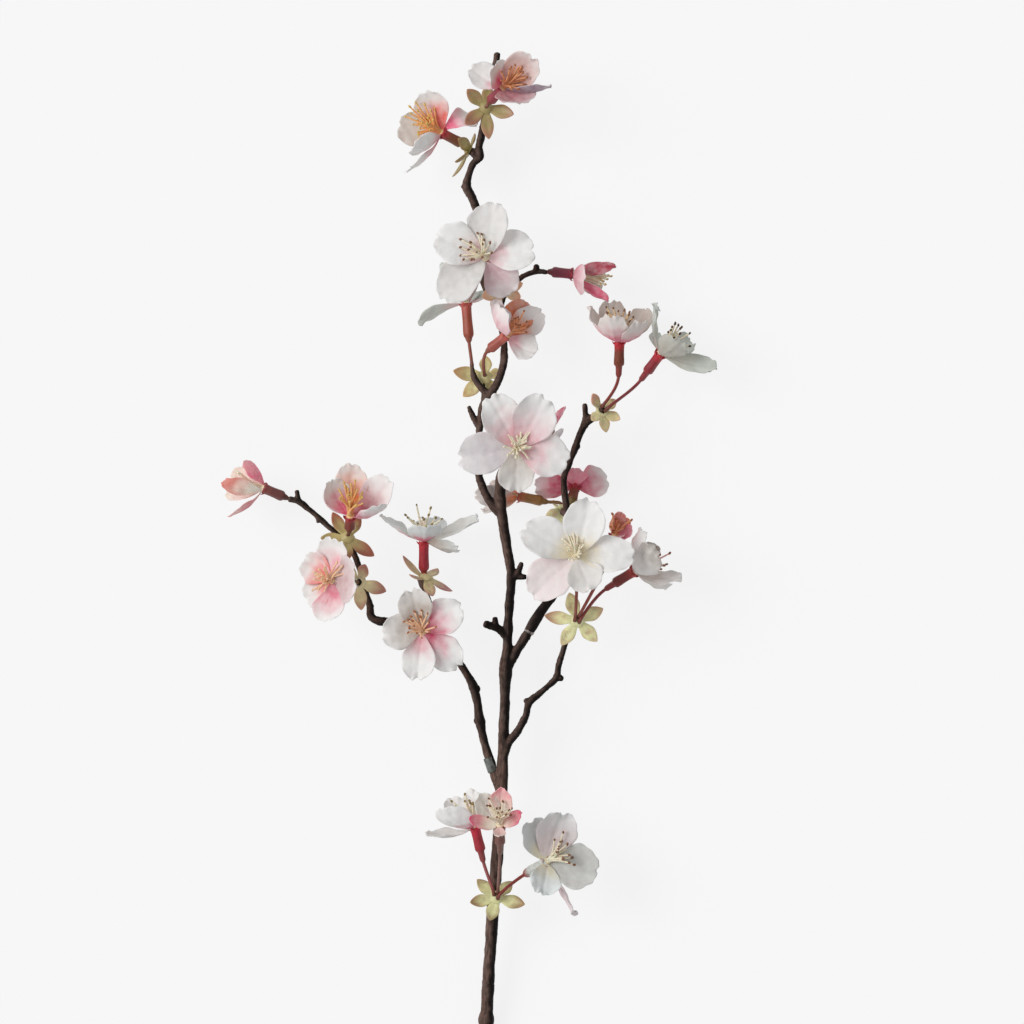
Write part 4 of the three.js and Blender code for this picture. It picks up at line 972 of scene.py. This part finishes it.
# A bract's middle: its rim, the hole where its peg shows, the pinhole and the height of the cap
# that else covers the peg, where the cap starts to fall, its five bulges, and its faces.
HUB = {"rim": 2.5 * MM, "hole": 1.2 * MM, "pinhole": 0.1 * MM, "cap": 1.2 * MM, "crown": 0.5 * MM,
       "bulge": 0.06, "around": 30, "section": 12}
# The tips' paint lies on a lobe from its tip inwards, along its edges and in blotches of two
# sizes, in millimetres.
BROWN = {"lead": 0.25, "start": 1.15, "full": 1.35, "weakest": 0.5, "gain": 0.6,
         "edges": 0.6, "edge": (0.68, 1.0), "edge_along": (0.1, 0.45),
         "blotches": 0.5, "blotch": 1.7, "speck": 0.7, "dense": (0.05, 0.6), "dense_along": (0.0, 0.5)}


def add_lobe(bm, start, tip, inner, width, leaf):
    """A thick pointed leaf: a tube flattened to a leaf's outline, with a groove down its inner
    side. Gives each vertex's share of the way to the tip and its share of the way to the edge."""
    outward = (tip - start).normalized()
    length = (tip - start).length
    inner = (inner - outward * inner.dot(outward)).normalized()
    side = outward.cross(inner)
    thick, widest = leaf["thick"], LEAF["widest"]

    def half_width(share):
        if share <= 0 or share >= 1:
            return 0
        if share < widest:
            return lerp(LEAF["root"], 1, smoothstep(share, LEAD, widest))
        return (1 - ((share - widest) / (1 - widest)) ** LEAF["point"]) ** LEAF["full"]

    def shape(u, v):
        angle = u * math.tau
        across = math.cos(angle) * half_width(v)
        rise = math.sin(angle) * math.sqrt(max(half_width(v), 0)) * thick / 2
        if rise > 0:
            narrow = max(0, 1 - abs(across) * LEAF["groove"])
            rise -= leaf["groove"] * thick * narrow * math.sin(math.pi * v)
        sideways = across * width / 2
        sag = 4 * leaf["belly"] * length * v * (1 - v)
        edge = leaf["cup"] * 2 * sideways ** 2 / width
        return start + side * sideways + outward * length * v + inner * (rise + edge - sag)

    spots = add_sheet(bm, LEAF["around"], LEAF["along"], shape)
    return {vert: (v, abs(math.cos(u * math.tau)) * half_width(v)) for vert, (u, v) in spots.items()}


def add_hub(bm, at, turn, hole, cap):
    """The bract's middle: a flat ring round the peg, which rises to cap over the peg's end."""
    rim = HUB["rim"]

    def shape(u, v):
        angle, section = u * math.tau, v * math.tau
        swell = 1 + HUB["bulge"] * math.cos(FOLD * angle)
        radius = ((hole + rim) / 2 + (rim - hole) / 2 * math.cos(section)) * swell
        rise = LOBE["thick"] / 2 * math.sin(section)
        if rise > 0:
            rise += cap * (1 - smoothstep(radius, HUB["crown"], rim))
        return at + turn @ ring_spot(radius, angle, rise)

    return add_sheet(bm, HUB["around"], HUB["section"], shape)


def tip_paint_share(spot, share, edge, brown):
    """How much of the tips' paint lies on a spot of a lobe; brown is how far it reaches in."""
    start, full = BROWN["start"] - brown, BROWN["full"] - brown / 2
    tipped = smoothstep(share + BROWN["lead"] * edge, start, full)
    edged = BROWN["edges"] * smoothstep(edge, *BROWN["edge"]) * smoothstep(share, *BROWN["edge_along"])
    blotch = noise.noise(spot / (BROWN["blotch"] * MM))
    blotch += 0.5 * noise.noise(spot / (BROWN["speck"] * MM))
    mottled = BROWN["blotches"] * smoothstep(blotch, *BROWN["dense"])
    mottled *= smoothstep(share, *BROWN["dense_along"])
    return max(tipped * min(1, BROWN["weakest"] + brown * BROWN["gain"]), edged, mottled)


def make_bract(name):
    """A hub threaded on its peg and the lobes that grow from it."""
    bract = BRACTS[name]
    way, turn = turn_to(bract["faces"])
    at = place(bract["at"])
    middle, tips, usual, others = LOBE_PAINT[name]
    middle, tips = linear(middle), linear(tips)
    bm = bmesh.new()
    dye = float_layer(bm, "dye")
    hole, cap = (HUB["hole"], 0) if name in BARE_PEGS else (HUB["pinhole"], HUB["cap"])
    for vert in add_hub(bm, at, turn, hole, cap):
        vert[dye] = middle
    for i, (x, y, z, width) in enumerate(bract["lobes"]):
        tip = place((x, y, z))
        start = tip - at
        start = at + (start - way * way.dot(start)).normalized() * LOBE_ROOT
        brown = others.get(i, usual)
        shares = add_lobe(bm, start, tip, way, width * STEP * LOBE_SLIM, LOBE)
        for vert, (share, edge) in shares.items():
            vert[dye] = blend_paint(middle, tips, tip_paint_share(vert.co, share, edge, brown))
    sealed(bm)
    finished("bract_" + name + "_lobes", bm, [WAXY], "bract", "bract_" + name)


# ---------------------------------------------------------------- flowers
# A petal: where it starts from the throat, how narrow its foot is beside its broadest part and
# where it is broadest, how it curls up at its sides, how far it may skew, how much of its wavy
# outline is in its length, its thickness and its faces.
PETAL = {"root": 1.0 * MM, "foot": 0.3, "broadest": 0.62, "cup": 0.3, "skew": 0.06,
         "wavy_length": 0.6, "thick": 0.2 * MM, "across": 20, "along": 28}
# Angles round a petal are taken from this share of its length; waves grow between these shares.
CENTRE = 0.35
WAVES_GROW = (0.2, 0.65)
# Waves of the cut edge, and of the ruffle near it and right at it. Each has how many go round,
# how high it is (a share of the reach, or millimetres) and which of the six starts it takes.
EDGE_WAVES = ((4, 0.018, 0), (9, 0.014, 1), (17, 0.011, 4))
RUFFLE_WAVES = ((4, 0.75, 2), (9, 0.45, 3))
RIM_WAVES = ((16, 0.3, 5),)
# How narrow the notch in the tip is as a share of the half width, and where it starts.
NOTCH = {"narrow": 0.13, "from": 0.75}
# A crease down the middle, in millimetres and narrow as a share of the half width, and small
# crumples in millimetres, which grow between two shares of the petal's length.
CREASE = {"deep": -0.4, "narrow": 0.1}
CRUMPLE = {"deep": 0.3, "wide": 2.6, "grows": (0.1, 0.4)}
# How far off in the noise a petal's crumples may be taken.
NOISE_REACH = 50
# Dye blurs by noise of this depth and size in millimetres, reaches less far at the sides, is
# sprayed this much stronger, and thins out between these shares of its reach.
DYE = {"blur": 0.16, "wide": 3, "sides": 0.1, "strong": 1.2, "thins": 0.2, "ends": 1.12}
# How far apart in the noise that blur is taken for each flower and for each petal.
FLOWER_STEP, PETAL_STEP = 3.7, 5.1


def wavy(waves, angle, starts):
    return sum(high * math.sin(count * angle + starts[k]) for count, high, k in waves)


def add_petal(bm, at, faces, petal, belly, foot, ruffle, notch, rng):
    """One petal of cloth from the throat to its tip. Gives each vertex's share of the way to
    the tip and where it is across, from -1 to 1."""
    x, y, z, broad = petal[:4]
    turn = petal[4] if len(petal) > 4 else 0
    belly = petal[5] if len(petal) > 5 else belly
    tip = place((x, y, z)) - at
    width = broad * STEP
    start = (tip - faces * faces.dot(tip)).normalized() * PETAL["root"]
    outward = tip - start
    length = outward.length
    outward.normalize()
    inner = faces + UP * turn
    inner = (inner - outward * inner.dot(outward)).normalized()
    side = outward.cross(inner)
    starts = [rng.uniform(0, math.tau) for _ in range(6)]
    lean = rng.uniform(-PETAL["skew"], PETAL["skew"])
    drift = Vector([rng.uniform(-NOISE_REACH, NOISE_REACH) for _ in range(3)])
    vectors = bm.verts.layers.float_vector
    threads = vectors.get("threads") or vectors.new("threads")
    shares = {}

    def shape(u, v):
        # The square sheet is rounded into a disc, so that the rim is the cut edge.
        x, y = u * 2 - 1, v * 2 - 1
        across, share = x * math.sqrt(1 - y * y / 2), (y * math.sqrt(1 - x * x / 2) + 1) / 2
        rim = max(abs(x), abs(y))
        angle = math.atan2(across, share - CENTRE)
        upper = smoothstep(share, *WAVES_GROW)
        swell = lerp(foot, 1, smoothstep(share, LEAD, PETAL["broadest"]))
        scallop = 1 + upper * rim ** 3 * wavy(EDGE_WAVES, angle, starts)
        cut = notch * math.exp(-(across / NOTCH["narrow"]) ** 2) * smoothstep(share, NOTCH["from"], 1)
        sideways = across * swell * scallop * width / 2
        ahead = length * (share * lerp(1, scallop, PETAL["wavy_length"]) - cut) + lean * sideways
        sag = 4 * belly * length * share * (1 - share)
        edge = PETAL["cup"] * 2 * sideways ** 2 / width
        crease = CREASE["deep"] * MM * math.exp(-(across / CREASE["narrow"]) ** 2)
        crease *= math.sin(math.pi * min(share, 1))
        wave = rim ** 4 * wavy(RUFFLE_WAVES, angle, starts) + rim ** 8 * wavy(RIM_WAVES, angle, starts)
        wave *= ruffle * MM * upper
        shares[(u, v)] = (share, across, sideways, ahead)
        spot = start + side * sideways + outward * ahead
        crumple = CRUMPLE["deep"] * MM * smoothstep(share, *CRUMPLE["grows"])
        crumple *= noise.noise(spot / (CRUMPLE["wide"] * MM) + drift)
        return at + spot + inner * (edge - sag + crease + wave + crumple)

    spots = add_sheet(bm, PETAL["across"], PETAL["along"], shape)
    uv_map = bm.loops.layers.uv.verify()
    for vert, spot in spots.items():
        share, across, sideways, ahead = shares[spot]
        vert[threads] = Vector((sideways / MM, ahead / MM, 0))
        swell = lerp(foot, 1, smoothstep(share, 0, PETAL["broadest"]))
        for loop in vert.link_loops:
            loop[uv_map].uv = (across * swell / 2 + 0.5, share)
    return {vert: shares[spot][:2] for vert, spot in spots.items()}


def dyed(share, reach):
    """How much of a dye is left at a share of the way along a petal; one with a negative reach
    comes from the tip."""
    if reach < 0:
        return smoothstep(share, 1 + reach, 1)
    return 1 - smoothstep(share, reach * DYE["thins"], reach * DYE["ends"])


def make_corolla(name, seed):
    """Five petals of cloth round the throat, dyed on both sides; some of the dyes are painted shade."""
    flower = FLOWERS[name]
    cloth, inside, outside, ruffle, notch, others = CLOTH[name]
    faces, _ = turn_to(flower["faces"])
    at = place(flower["at"])
    rng = random.Random(seed)
    foot = FOOT.get(name, PETAL["foot"])
    bm = bmesh.new()
    base, *paints = (float_layer(bm, layer) for layer in ("cloth", "inner_paint", "outer_paint"))
    for i, petal in enumerate(flower["petals"]):
        sides = others.get(i, (inside, outside))
        shift = Vector((seed * FLOWER_STEP + i, i * PETAL_STEP, seed))
        shares = add_petal(bm, at, faces, petal, flower["belly"], foot, ruffle, notch, rng)
        for vert, (share, across) in shares.items():
            vert[base] = linear(PAINTS[cloth])
            blur = DYE["blur"] * noise.noise(vert.co / (DYE["wide"] * MM) + shift)
            blur += DYE["sides"] * abs(across)
            for layer, (paint, strength, reach) in zip(paints, sides):
                left = dyed(share + blur, reach)
                vert[layer] = linear(PAINTS[paint], min(1, strength * DYE["strong"]) * left)
    piece = finished("corolla_" + name, bm, [PETAL_INNER, PETAL_OUTER], "petal", "petals_" + name)
    cut = piece.modifiers.new("cloth", "SOLIDIFY")
    cut.thickness, cut.offset, cut.material_offset, cut.use_even_offset = PETAL["thick"], 0, 1, True


# A filament: the radius of its foot and its tip in millimetres, the ring it stands on and how
# high above the throat, its rings and sides, and how strongly it leaves along the flower's way
# and comes in under its anther, as shares of its length.
FILAMENT = {"foot": 0.44, "tip": 0.3, "ring": 0.6, "stand": 0.3, "along": 6, "around": 5,
            "rise": 0.35, "back": 0.3, "bend": 0.06}
# Filaments with no place of their own: how close they come to the flower's way (a share of their
# spread, squared), the turn from one to the next in radians and how far it strays, and their
# shortest and longest length beside the usual one.
FAN = {"closest": 0.02, "turn": 2.4, "stray": 0.4, "short": 0.72, "long": 1.02}
# The least height that an anther is tried at over or under the throat, as a share of the
# filament's length.
LEAST_RISE = 0.25
# Where the random draws of the stamens and of the calyces start.
STAMEN_SEEDS, CALYX_SEEDS = 100, 200
# An anther's half sizes in millimetres, how much they vary, and how far it tips over.
ANTHER = {"x": 0.4, "y": 0.44, "z": 0.62, "small": 0.85, "big": 1.15, "tip": 0.5}
# The dome in the throat that the filaments stand on, in millimetres, and its paint.
DOME = {"radius": 1.5, "high": 0.8, "around": 16, "up": 6}
DOME_PAINT = "#ecd0a4"


def anther_over(spot, at, faces, length):
    """The place over or under a spot of the sheet that a filament of this length reaches, on the
    side that the flower faces."""
    flat = place((*spot, 0)) - Vector((at.x, at.y, 0))
    rise = math.sqrt(max(length ** 2 - flat.length_squared, (LEAST_RISE * length) ** 2))
    level = at + flat
    heights = (level - UP * rise, level, level + UP * rise)
    return max(heights, key=lambda end: (end - at).dot(faces) / max((end - at).length, SHORTEST))


def add_filament(bm, dye, foot, end, faces, thread):
    """A filament from its foot to its end. Gives the way it runs there."""
    reach = (end - foot).length
    steps = FILAMENT["along"]
    leave = foot + faces * reach * FILAMENT["rise"]
    arrive = end - (end - foot) * FILAMENT["back"] + faces * reach * FILAMENT["bend"]
    route = bezier(foot, leave, arrive, end, steps)
    radii = [lerp(FILAMENT["foot"], FILAMENT["tip"], i / steps) * MM for i in range(steps + 1)]
    for vert in add_tube(bm, route, radii, FILAMENT["around"]):
        vert[dye] = thread
    return (route[-1] - route[-2]).normalized()


def add_anther(bm, dye, end, way, size, dot):
    """A grain that lies across the end of its filament."""
    grown = bmesh.ops.create_uvsphere(bm, u_segments=6, v_segments=5, radius=1.0)["verts"]
    tilt = UP.rotation_difference(way)
    for vert in grown:
        spot = Vector((vert.co.x * ANTHER["x"], vert.co.y * ANTHER["y"], vert.co.z * ANTHER["z"]))
        vert.co = end + tilt @ (spot * MM * size)
        vert[dye] = dot
    smoothed(faces_of(grown))


def make_stamens(name, seed):
    """Filaments from a small dome in the throat, each bent towards its anther."""
    flower = FLOWERS[name]
    count, length, spread, filament, anther, tips = STAMENS[name]
    faces, turn = turn_to(flower["faces"])
    at = place(flower["at"])
    length *= MM
    rng = random.Random(STAMEN_SEEDS + seed)
    bm = bmesh.new()
    dye = float_layer(bm, "dye")
    thread, dot = linear(PLASTICS[filament]), linear(PLASTICS[anther])
    ends = [anther_over(spot, at, faces, length) for spot in tips]
    while len(ends) < count:
        tilt = math.radians(spread) * math.sqrt(rng.uniform(FAN["closest"], 1))
        bearing = len(ends) * FAN["turn"] + rng.uniform(-FAN["stray"], FAN["stray"])
        far = length * rng.uniform(FAN["short"], FAN["long"])
        ends.append(at + turn @ ring_spot(math.sin(tilt), bearing, math.cos(tilt)) * far)
    for end in ends:
        bearing = rng.uniform(0, math.tau)
        foot = at + turn @ ring_spot(FILAMENT["ring"] * MM, bearing, FILAMENT["stand"] * MM)
        way = add_filament(bm, dye, foot, end, faces, thread)
        way += faces.cross(end - foot).normalized() * ANTHER["tip"]
        add_anther(bm, dye, end, way, rng.uniform(ANTHER["small"], ANTHER["big"]), dot)

    def dome(u, v):
        angle, rise = u * math.tau, v * math.pi / 2
        radius = DOME["radius"] * MM * math.cos(rise)
        return at + turn @ ring_spot(radius, angle, DOME["high"] * MM * math.sin(rise))

    for vert in add_sheet(bm, DOME["around"], DOME["up"], dome):
        vert[dye] = blend_paint(thread, linear(DOME_PAINT), 0.5)
    sealed(bm)
    finished("stamens_" + name, bm, [STAMEN_PLASTIC], "petal")


# Where a stalk sits on a bract, in millimetres: its height over the middle, and how far from the
# peg it is where it shares the bract.
SEAT = {"height": 1.7, "apart": 0.95}


def seat_of(flower):
    """Where a flower's stalk ends on what carries it, and the way it leaves from there."""
    if "from" in flower:
        away, _ = turn_to(flower["faces"])
        return place(flower["from"]), away
    bract = BRACTS[flower["on"]]
    way, turn = turn_to(bract["faces"])
    seat = place(bract["at"]) + way * SEAT["height"] * MM
    if "bearing" in flower:
        seat += turn @ ring_spot(1, math.radians(flower["bearing"]), 0) * SEAT["apart"] * MM
    return seat, way


# A calyx's profile: its radius in millimetres at shares of its tube's length from the rim.
TUBE = ((0, 1.85), (0.1, 1.8), (0.22, 1.72), (0.4, 1.7), (0.6, 1.74), (0.78, 1.84), (0.9, 1.84),
        (0.96, 1.66), (1.0, 1.3))
# The collar below the tube, in millimetres: how far under the tube it starts, its radius there,
# halfway and at the calyx's end, and how much further it steps down to the wire, at what radius.
COLLAR = {"step": 0.3, "top": 1.18, "middle": 1.1, "end": 1.05, "cut": 0.8, "cut_radius": 0.75}
# The bead at some feet, in shares of its own radius: how deep each ring is past the end, and how
# wide; and the radius in millimetres of the neck above it and of the wire below.
BEAD_RINGS = ((-1, 0.8), (-0.3, 1), (0.4, 0.8))
BEAD_NECK, BEAD_FOOT = 1.0, 0.6
# The calyx, in millimetres: how far its rim is under the throat, the tube's longest length and
# what it leaves for the collar, in an ordinary calyx and in a long one; its sides.
CALYX = {"under": 0.35, "longest": 8.4, "collar": 0.7, "long_collar": 0.5, "around": 24}
# Its broad ribs and its fine ones: how many, and how high as a share of its radius.
BROAD_RIBS, FINE_RIBS = (FOLD, 0.05), (13, 0.02)
# Its paint blends from the rim's to the body's over the first share of the tube, and to the
# collar's between the other two.
CALYX_BLEND = (0.45, 0.85, 1.15)
# Its sepals, in millimetres: how far under the rim and out they start, how far out and up they
# reach, how wide they are, and how much they stray in bearing and lean out.
SEPALS = {"under": 1.0, "out": 1.2, "reach": 1.3, "rise": 1.5, "wide": 1.9, "stray": 0.1, "lean": 0.5}
SEPAL_TIP = "#b8323c"
# The wire, in millimetres: how deep it is sunk in what carries it, how far under the calyx's end
# it stops, its radius at its foot and above. Then its rings and sides, how far up it is thicker,
# and between which shares of its length its foot's paint ends.
WIRE = {"sunk": 0.6, "stop": 0.3, "foot": 0.75, "thin": 0.58, "along": 24, "around": 10,
        "flare": 0.2, "paint": (0.05, 0.4)}
WIRE_FOOT = "#6e4034"


def calyx_levels(name, body, length):
    """Depths under the rim and radii down a calyx, in metres."""
    levels = [(share * body, radius * MM) for share, radius in TUBE]
    levels += [(body + COLLAR["step"] * MM, COLLAR["top"] * MM),
               (lerp(body, length, 0.5), COLLAR["middle"] * MM)]
    if name not in BEADS:
        return levels + [(length, COLLAR["end"] * MM),
                         (length + COLLAR["cut"] * MM, COLLAR["cut_radius"] * MM)]
    bead = BEADS[name] * MM
    levels += [(length - 1.5 * bead, BEAD_NECK * MM)]
    levels += [(length + depth * bead, radius * bead) for depth, radius in BEAD_RINGS]
    return levels + [(length + bead, BEAD_FOOT * MM)]


def ribbed(angle):
    """How far out a calyx's skin is at an angle, beside its profile's radius."""
    (broad, high), (fine, low) = BROAD_RIBS, FINE_RIBS
    return 1 + high * math.cos(broad * angle) + low * math.sin(fine * angle)


def make_calyx(name, seed):
    """Ribbed tube with five pointed sepals, a swelling, a collar, and the wire under it."""
    flower = FLOWERS[name]
    way, turn = turn_to(flower["faces"])
    rim_paint, body_paint, collar_paint = (linear(code) for code in CALYX_PAINT[name])
    length = LONG_TUBES.get(name, flower["calyx"]) * MM
    top = place(flower["at"]) - way * CALYX["under"] * MM
    rng = random.Random(CALYX_SEEDS + seed)
    bm = bmesh.new()
    dye = float_layer(bm, "dye")
    body = min(CALYX["longest"] * MM, length - CALYX["collar"] * MM)
    if name in LONG_TUBES:
        body = length - CALYX["long_collar"] * MM
    levels = calyx_levels(name, body, length)
    points = [top - way * depth for depth, _ in levels]
    rim_share, collar_from, collar_full = CALYX_BLEND
    for vert in add_tube(bm, points, [radius for _, radius in levels], CALYX["around"], ribbed):
        depth = (top - vert.co).dot(way)
        paint = blend_paint(rim_paint, body_paint, smoothstep(depth, 0, rim_share * body))
        share = smoothstep(depth, collar_from * body, collar_full * body)
        vert[dye] = blend_paint(paint, collar_paint, share)
    for i in range(FOLD):
        angle = math.tau * (i + 0.5) / FOLD + rng.uniform(-SEPALS["stray"], SEPALS["stray"])
        radial = turn @ ring_spot(1, angle, 0)
        start = top - way * SEPALS["under"] * MM + radial * SEPALS["out"] * MM
        tip = start + radial * SEPALS["reach"] * MM + way * SEPALS["rise"] * MM
        shares = add_lobe(bm, start, tip, way - radial * SEPALS["lean"], SEPALS["wide"] * MM, SEPAL)
        for vert, (share, _) in shares.items():
            vert[dye] = blend_paint(rim_paint, linear(SEPAL_TIP), share * 0.5)
    seat, away = seat_of(flower)
    bottom = top - way * (length + WIRE["stop"] * MM)
    reach = (bottom - seat).length / 3
    steps = WIRE["along"]
    foot = seat - away * WIRE["sunk"] * MM
    route = bezier(foot, seat + away * reach, bottom - way * reach, bottom, steps)
    radii = [lerp(WIRE["foot"], WIRE["thin"], smoothstep(i / steps, 0, WIRE["flare"])) * MM
             for i in range(steps + 1)]
    for vert, (_, along) in add_tube(bm, route, radii, WIRE["around"]).items():
        vert[dye] = blend_paint(linear(WIRE_FOOT), collar_paint, smoothstep(along, *WIRE["paint"]))
    sealed(bm)
    finished("calyx_" + name + "_tube", bm, [CALYX_PLASTIC], "calyx", "calyx_" + name)


# ---------------------------------------------------------------- the sprig
wood("main_stem", STEM_RUNS, STEM_SPURS, ["top", "top_left", "crown", "crook", "low_right", "base"], 1)
wood("left_twig", LEFT_RUNS, LEFT_SPURS, ["left_high", "left_mid", "left_inner"], 2)
wood("right_twig", RIGHT_RUNS, RIGHT_SPURS, ["right", "right_back"], 3)
for joint_name in JOINTS:
    make_joint(joint_name)
for bract_name in BRACTS:
    make_bract(bract_name)
for number, flower_name in enumerate(FLOWERS):
    make_calyx(flower_name, number)
    make_corolla(flower_name, number)
    make_stamens(flower_name, number)


# ---------------------------------------------------------------- stage, light and camera
TABLE = {"half": 2.0, "paper": 0.13, "glow": 0.82}
# The softbox: the way it shines, its strength and how wide it looks, in degrees.
SOFTBOX = {"way": (0.8, -0.25, -0.75), "strength": 1.75, "wide": 35}
STUDIO_LIGHT, STUDIO_STRENGTH = (0.97, 0.98, 1.0, 1), 0.48


def make_floor():
    """A pale table top, 4 m wide, that glows a little so that shadows on it stay faint."""
    bm = bmesh.new()
    bmesh.ops.create_grid(bm, x_segments=1, y_segments=1, size=TABLE["half"])
    mesh = bpy.data.meshes.new("table_top")
    bm.to_mesh(mesh)
    bm.free()
    floor = bpy.data.objects.new("table_top", mesh)
    bpy.context.scene.collection.objects.link(floor)
    paper = TABLE["paper"]
    material, _, _ = new_material("table_paper", {
        "Base Color": (paper, paper, paper, 1), "Roughness": 1.0, "Specular IOR Level": 0.0,
        "Emission Color": (1, 1, 1, 1), "Emission Strength": TABLE["glow"]})
    mesh.materials.append(material)


def add_sun(name, way, strength, width):
    """A soft far light that shines along way."""
    lamp = bpy.data.lights.new(name, "SUN")
    lamp.energy, lamp.angle = strength, math.radians(width)
    light = bpy.data.objects.new(name, lamp)
    light.rotation_mode = "QUATERNION"
    light.rotation_quaternion = Vector(way).to_track_quat("-Z", "Y")
    bpy.context.scene.collection.objects.link(light)


make_floor()
add_sun("softbox_left", SOFTBOX["way"], SOFTBOX["strength"], SOFTBOX["wide"])
world = bpy.data.worlds.new("studio")
world.use_nodes = True
world.node_tree.nodes["Background"].inputs["Color"].default_value = STUDIO_LIGHT
world.node_tree.nodes["Background"].inputs["Strength"].default_value = STUDIO_STRENGTH
scene = bpy.context.scene
scene.world = world
scene.view_settings.view_transform = "Standard"

# The camera looks straight down on the middle of the sheet: its height and what it shows in
# metres, its sensor in millimetres, and its middle in steps.
CAMERA = {"height": 5.0, "sensor": 36.0, "across": 1024 * STEP, "middle": (512, 512, 0),
          "near": 0.1, "far": 50}
lens = bpy.data.cameras.new("camera")
lens.sensor_width = CAMERA["sensor"]
lens.lens = CAMERA["sensor"] * CAMERA["height"] / CAMERA["across"]
lens.clip_start, lens.clip_end = CAMERA["near"], CAMERA["far"]
camera = bpy.data.objects.new("camera", lens)
camera.location = place(CAMERA["middle"]) + UP * CAMERA["height"]
scene.collection.objects.link(camera)
scene.camera = camera
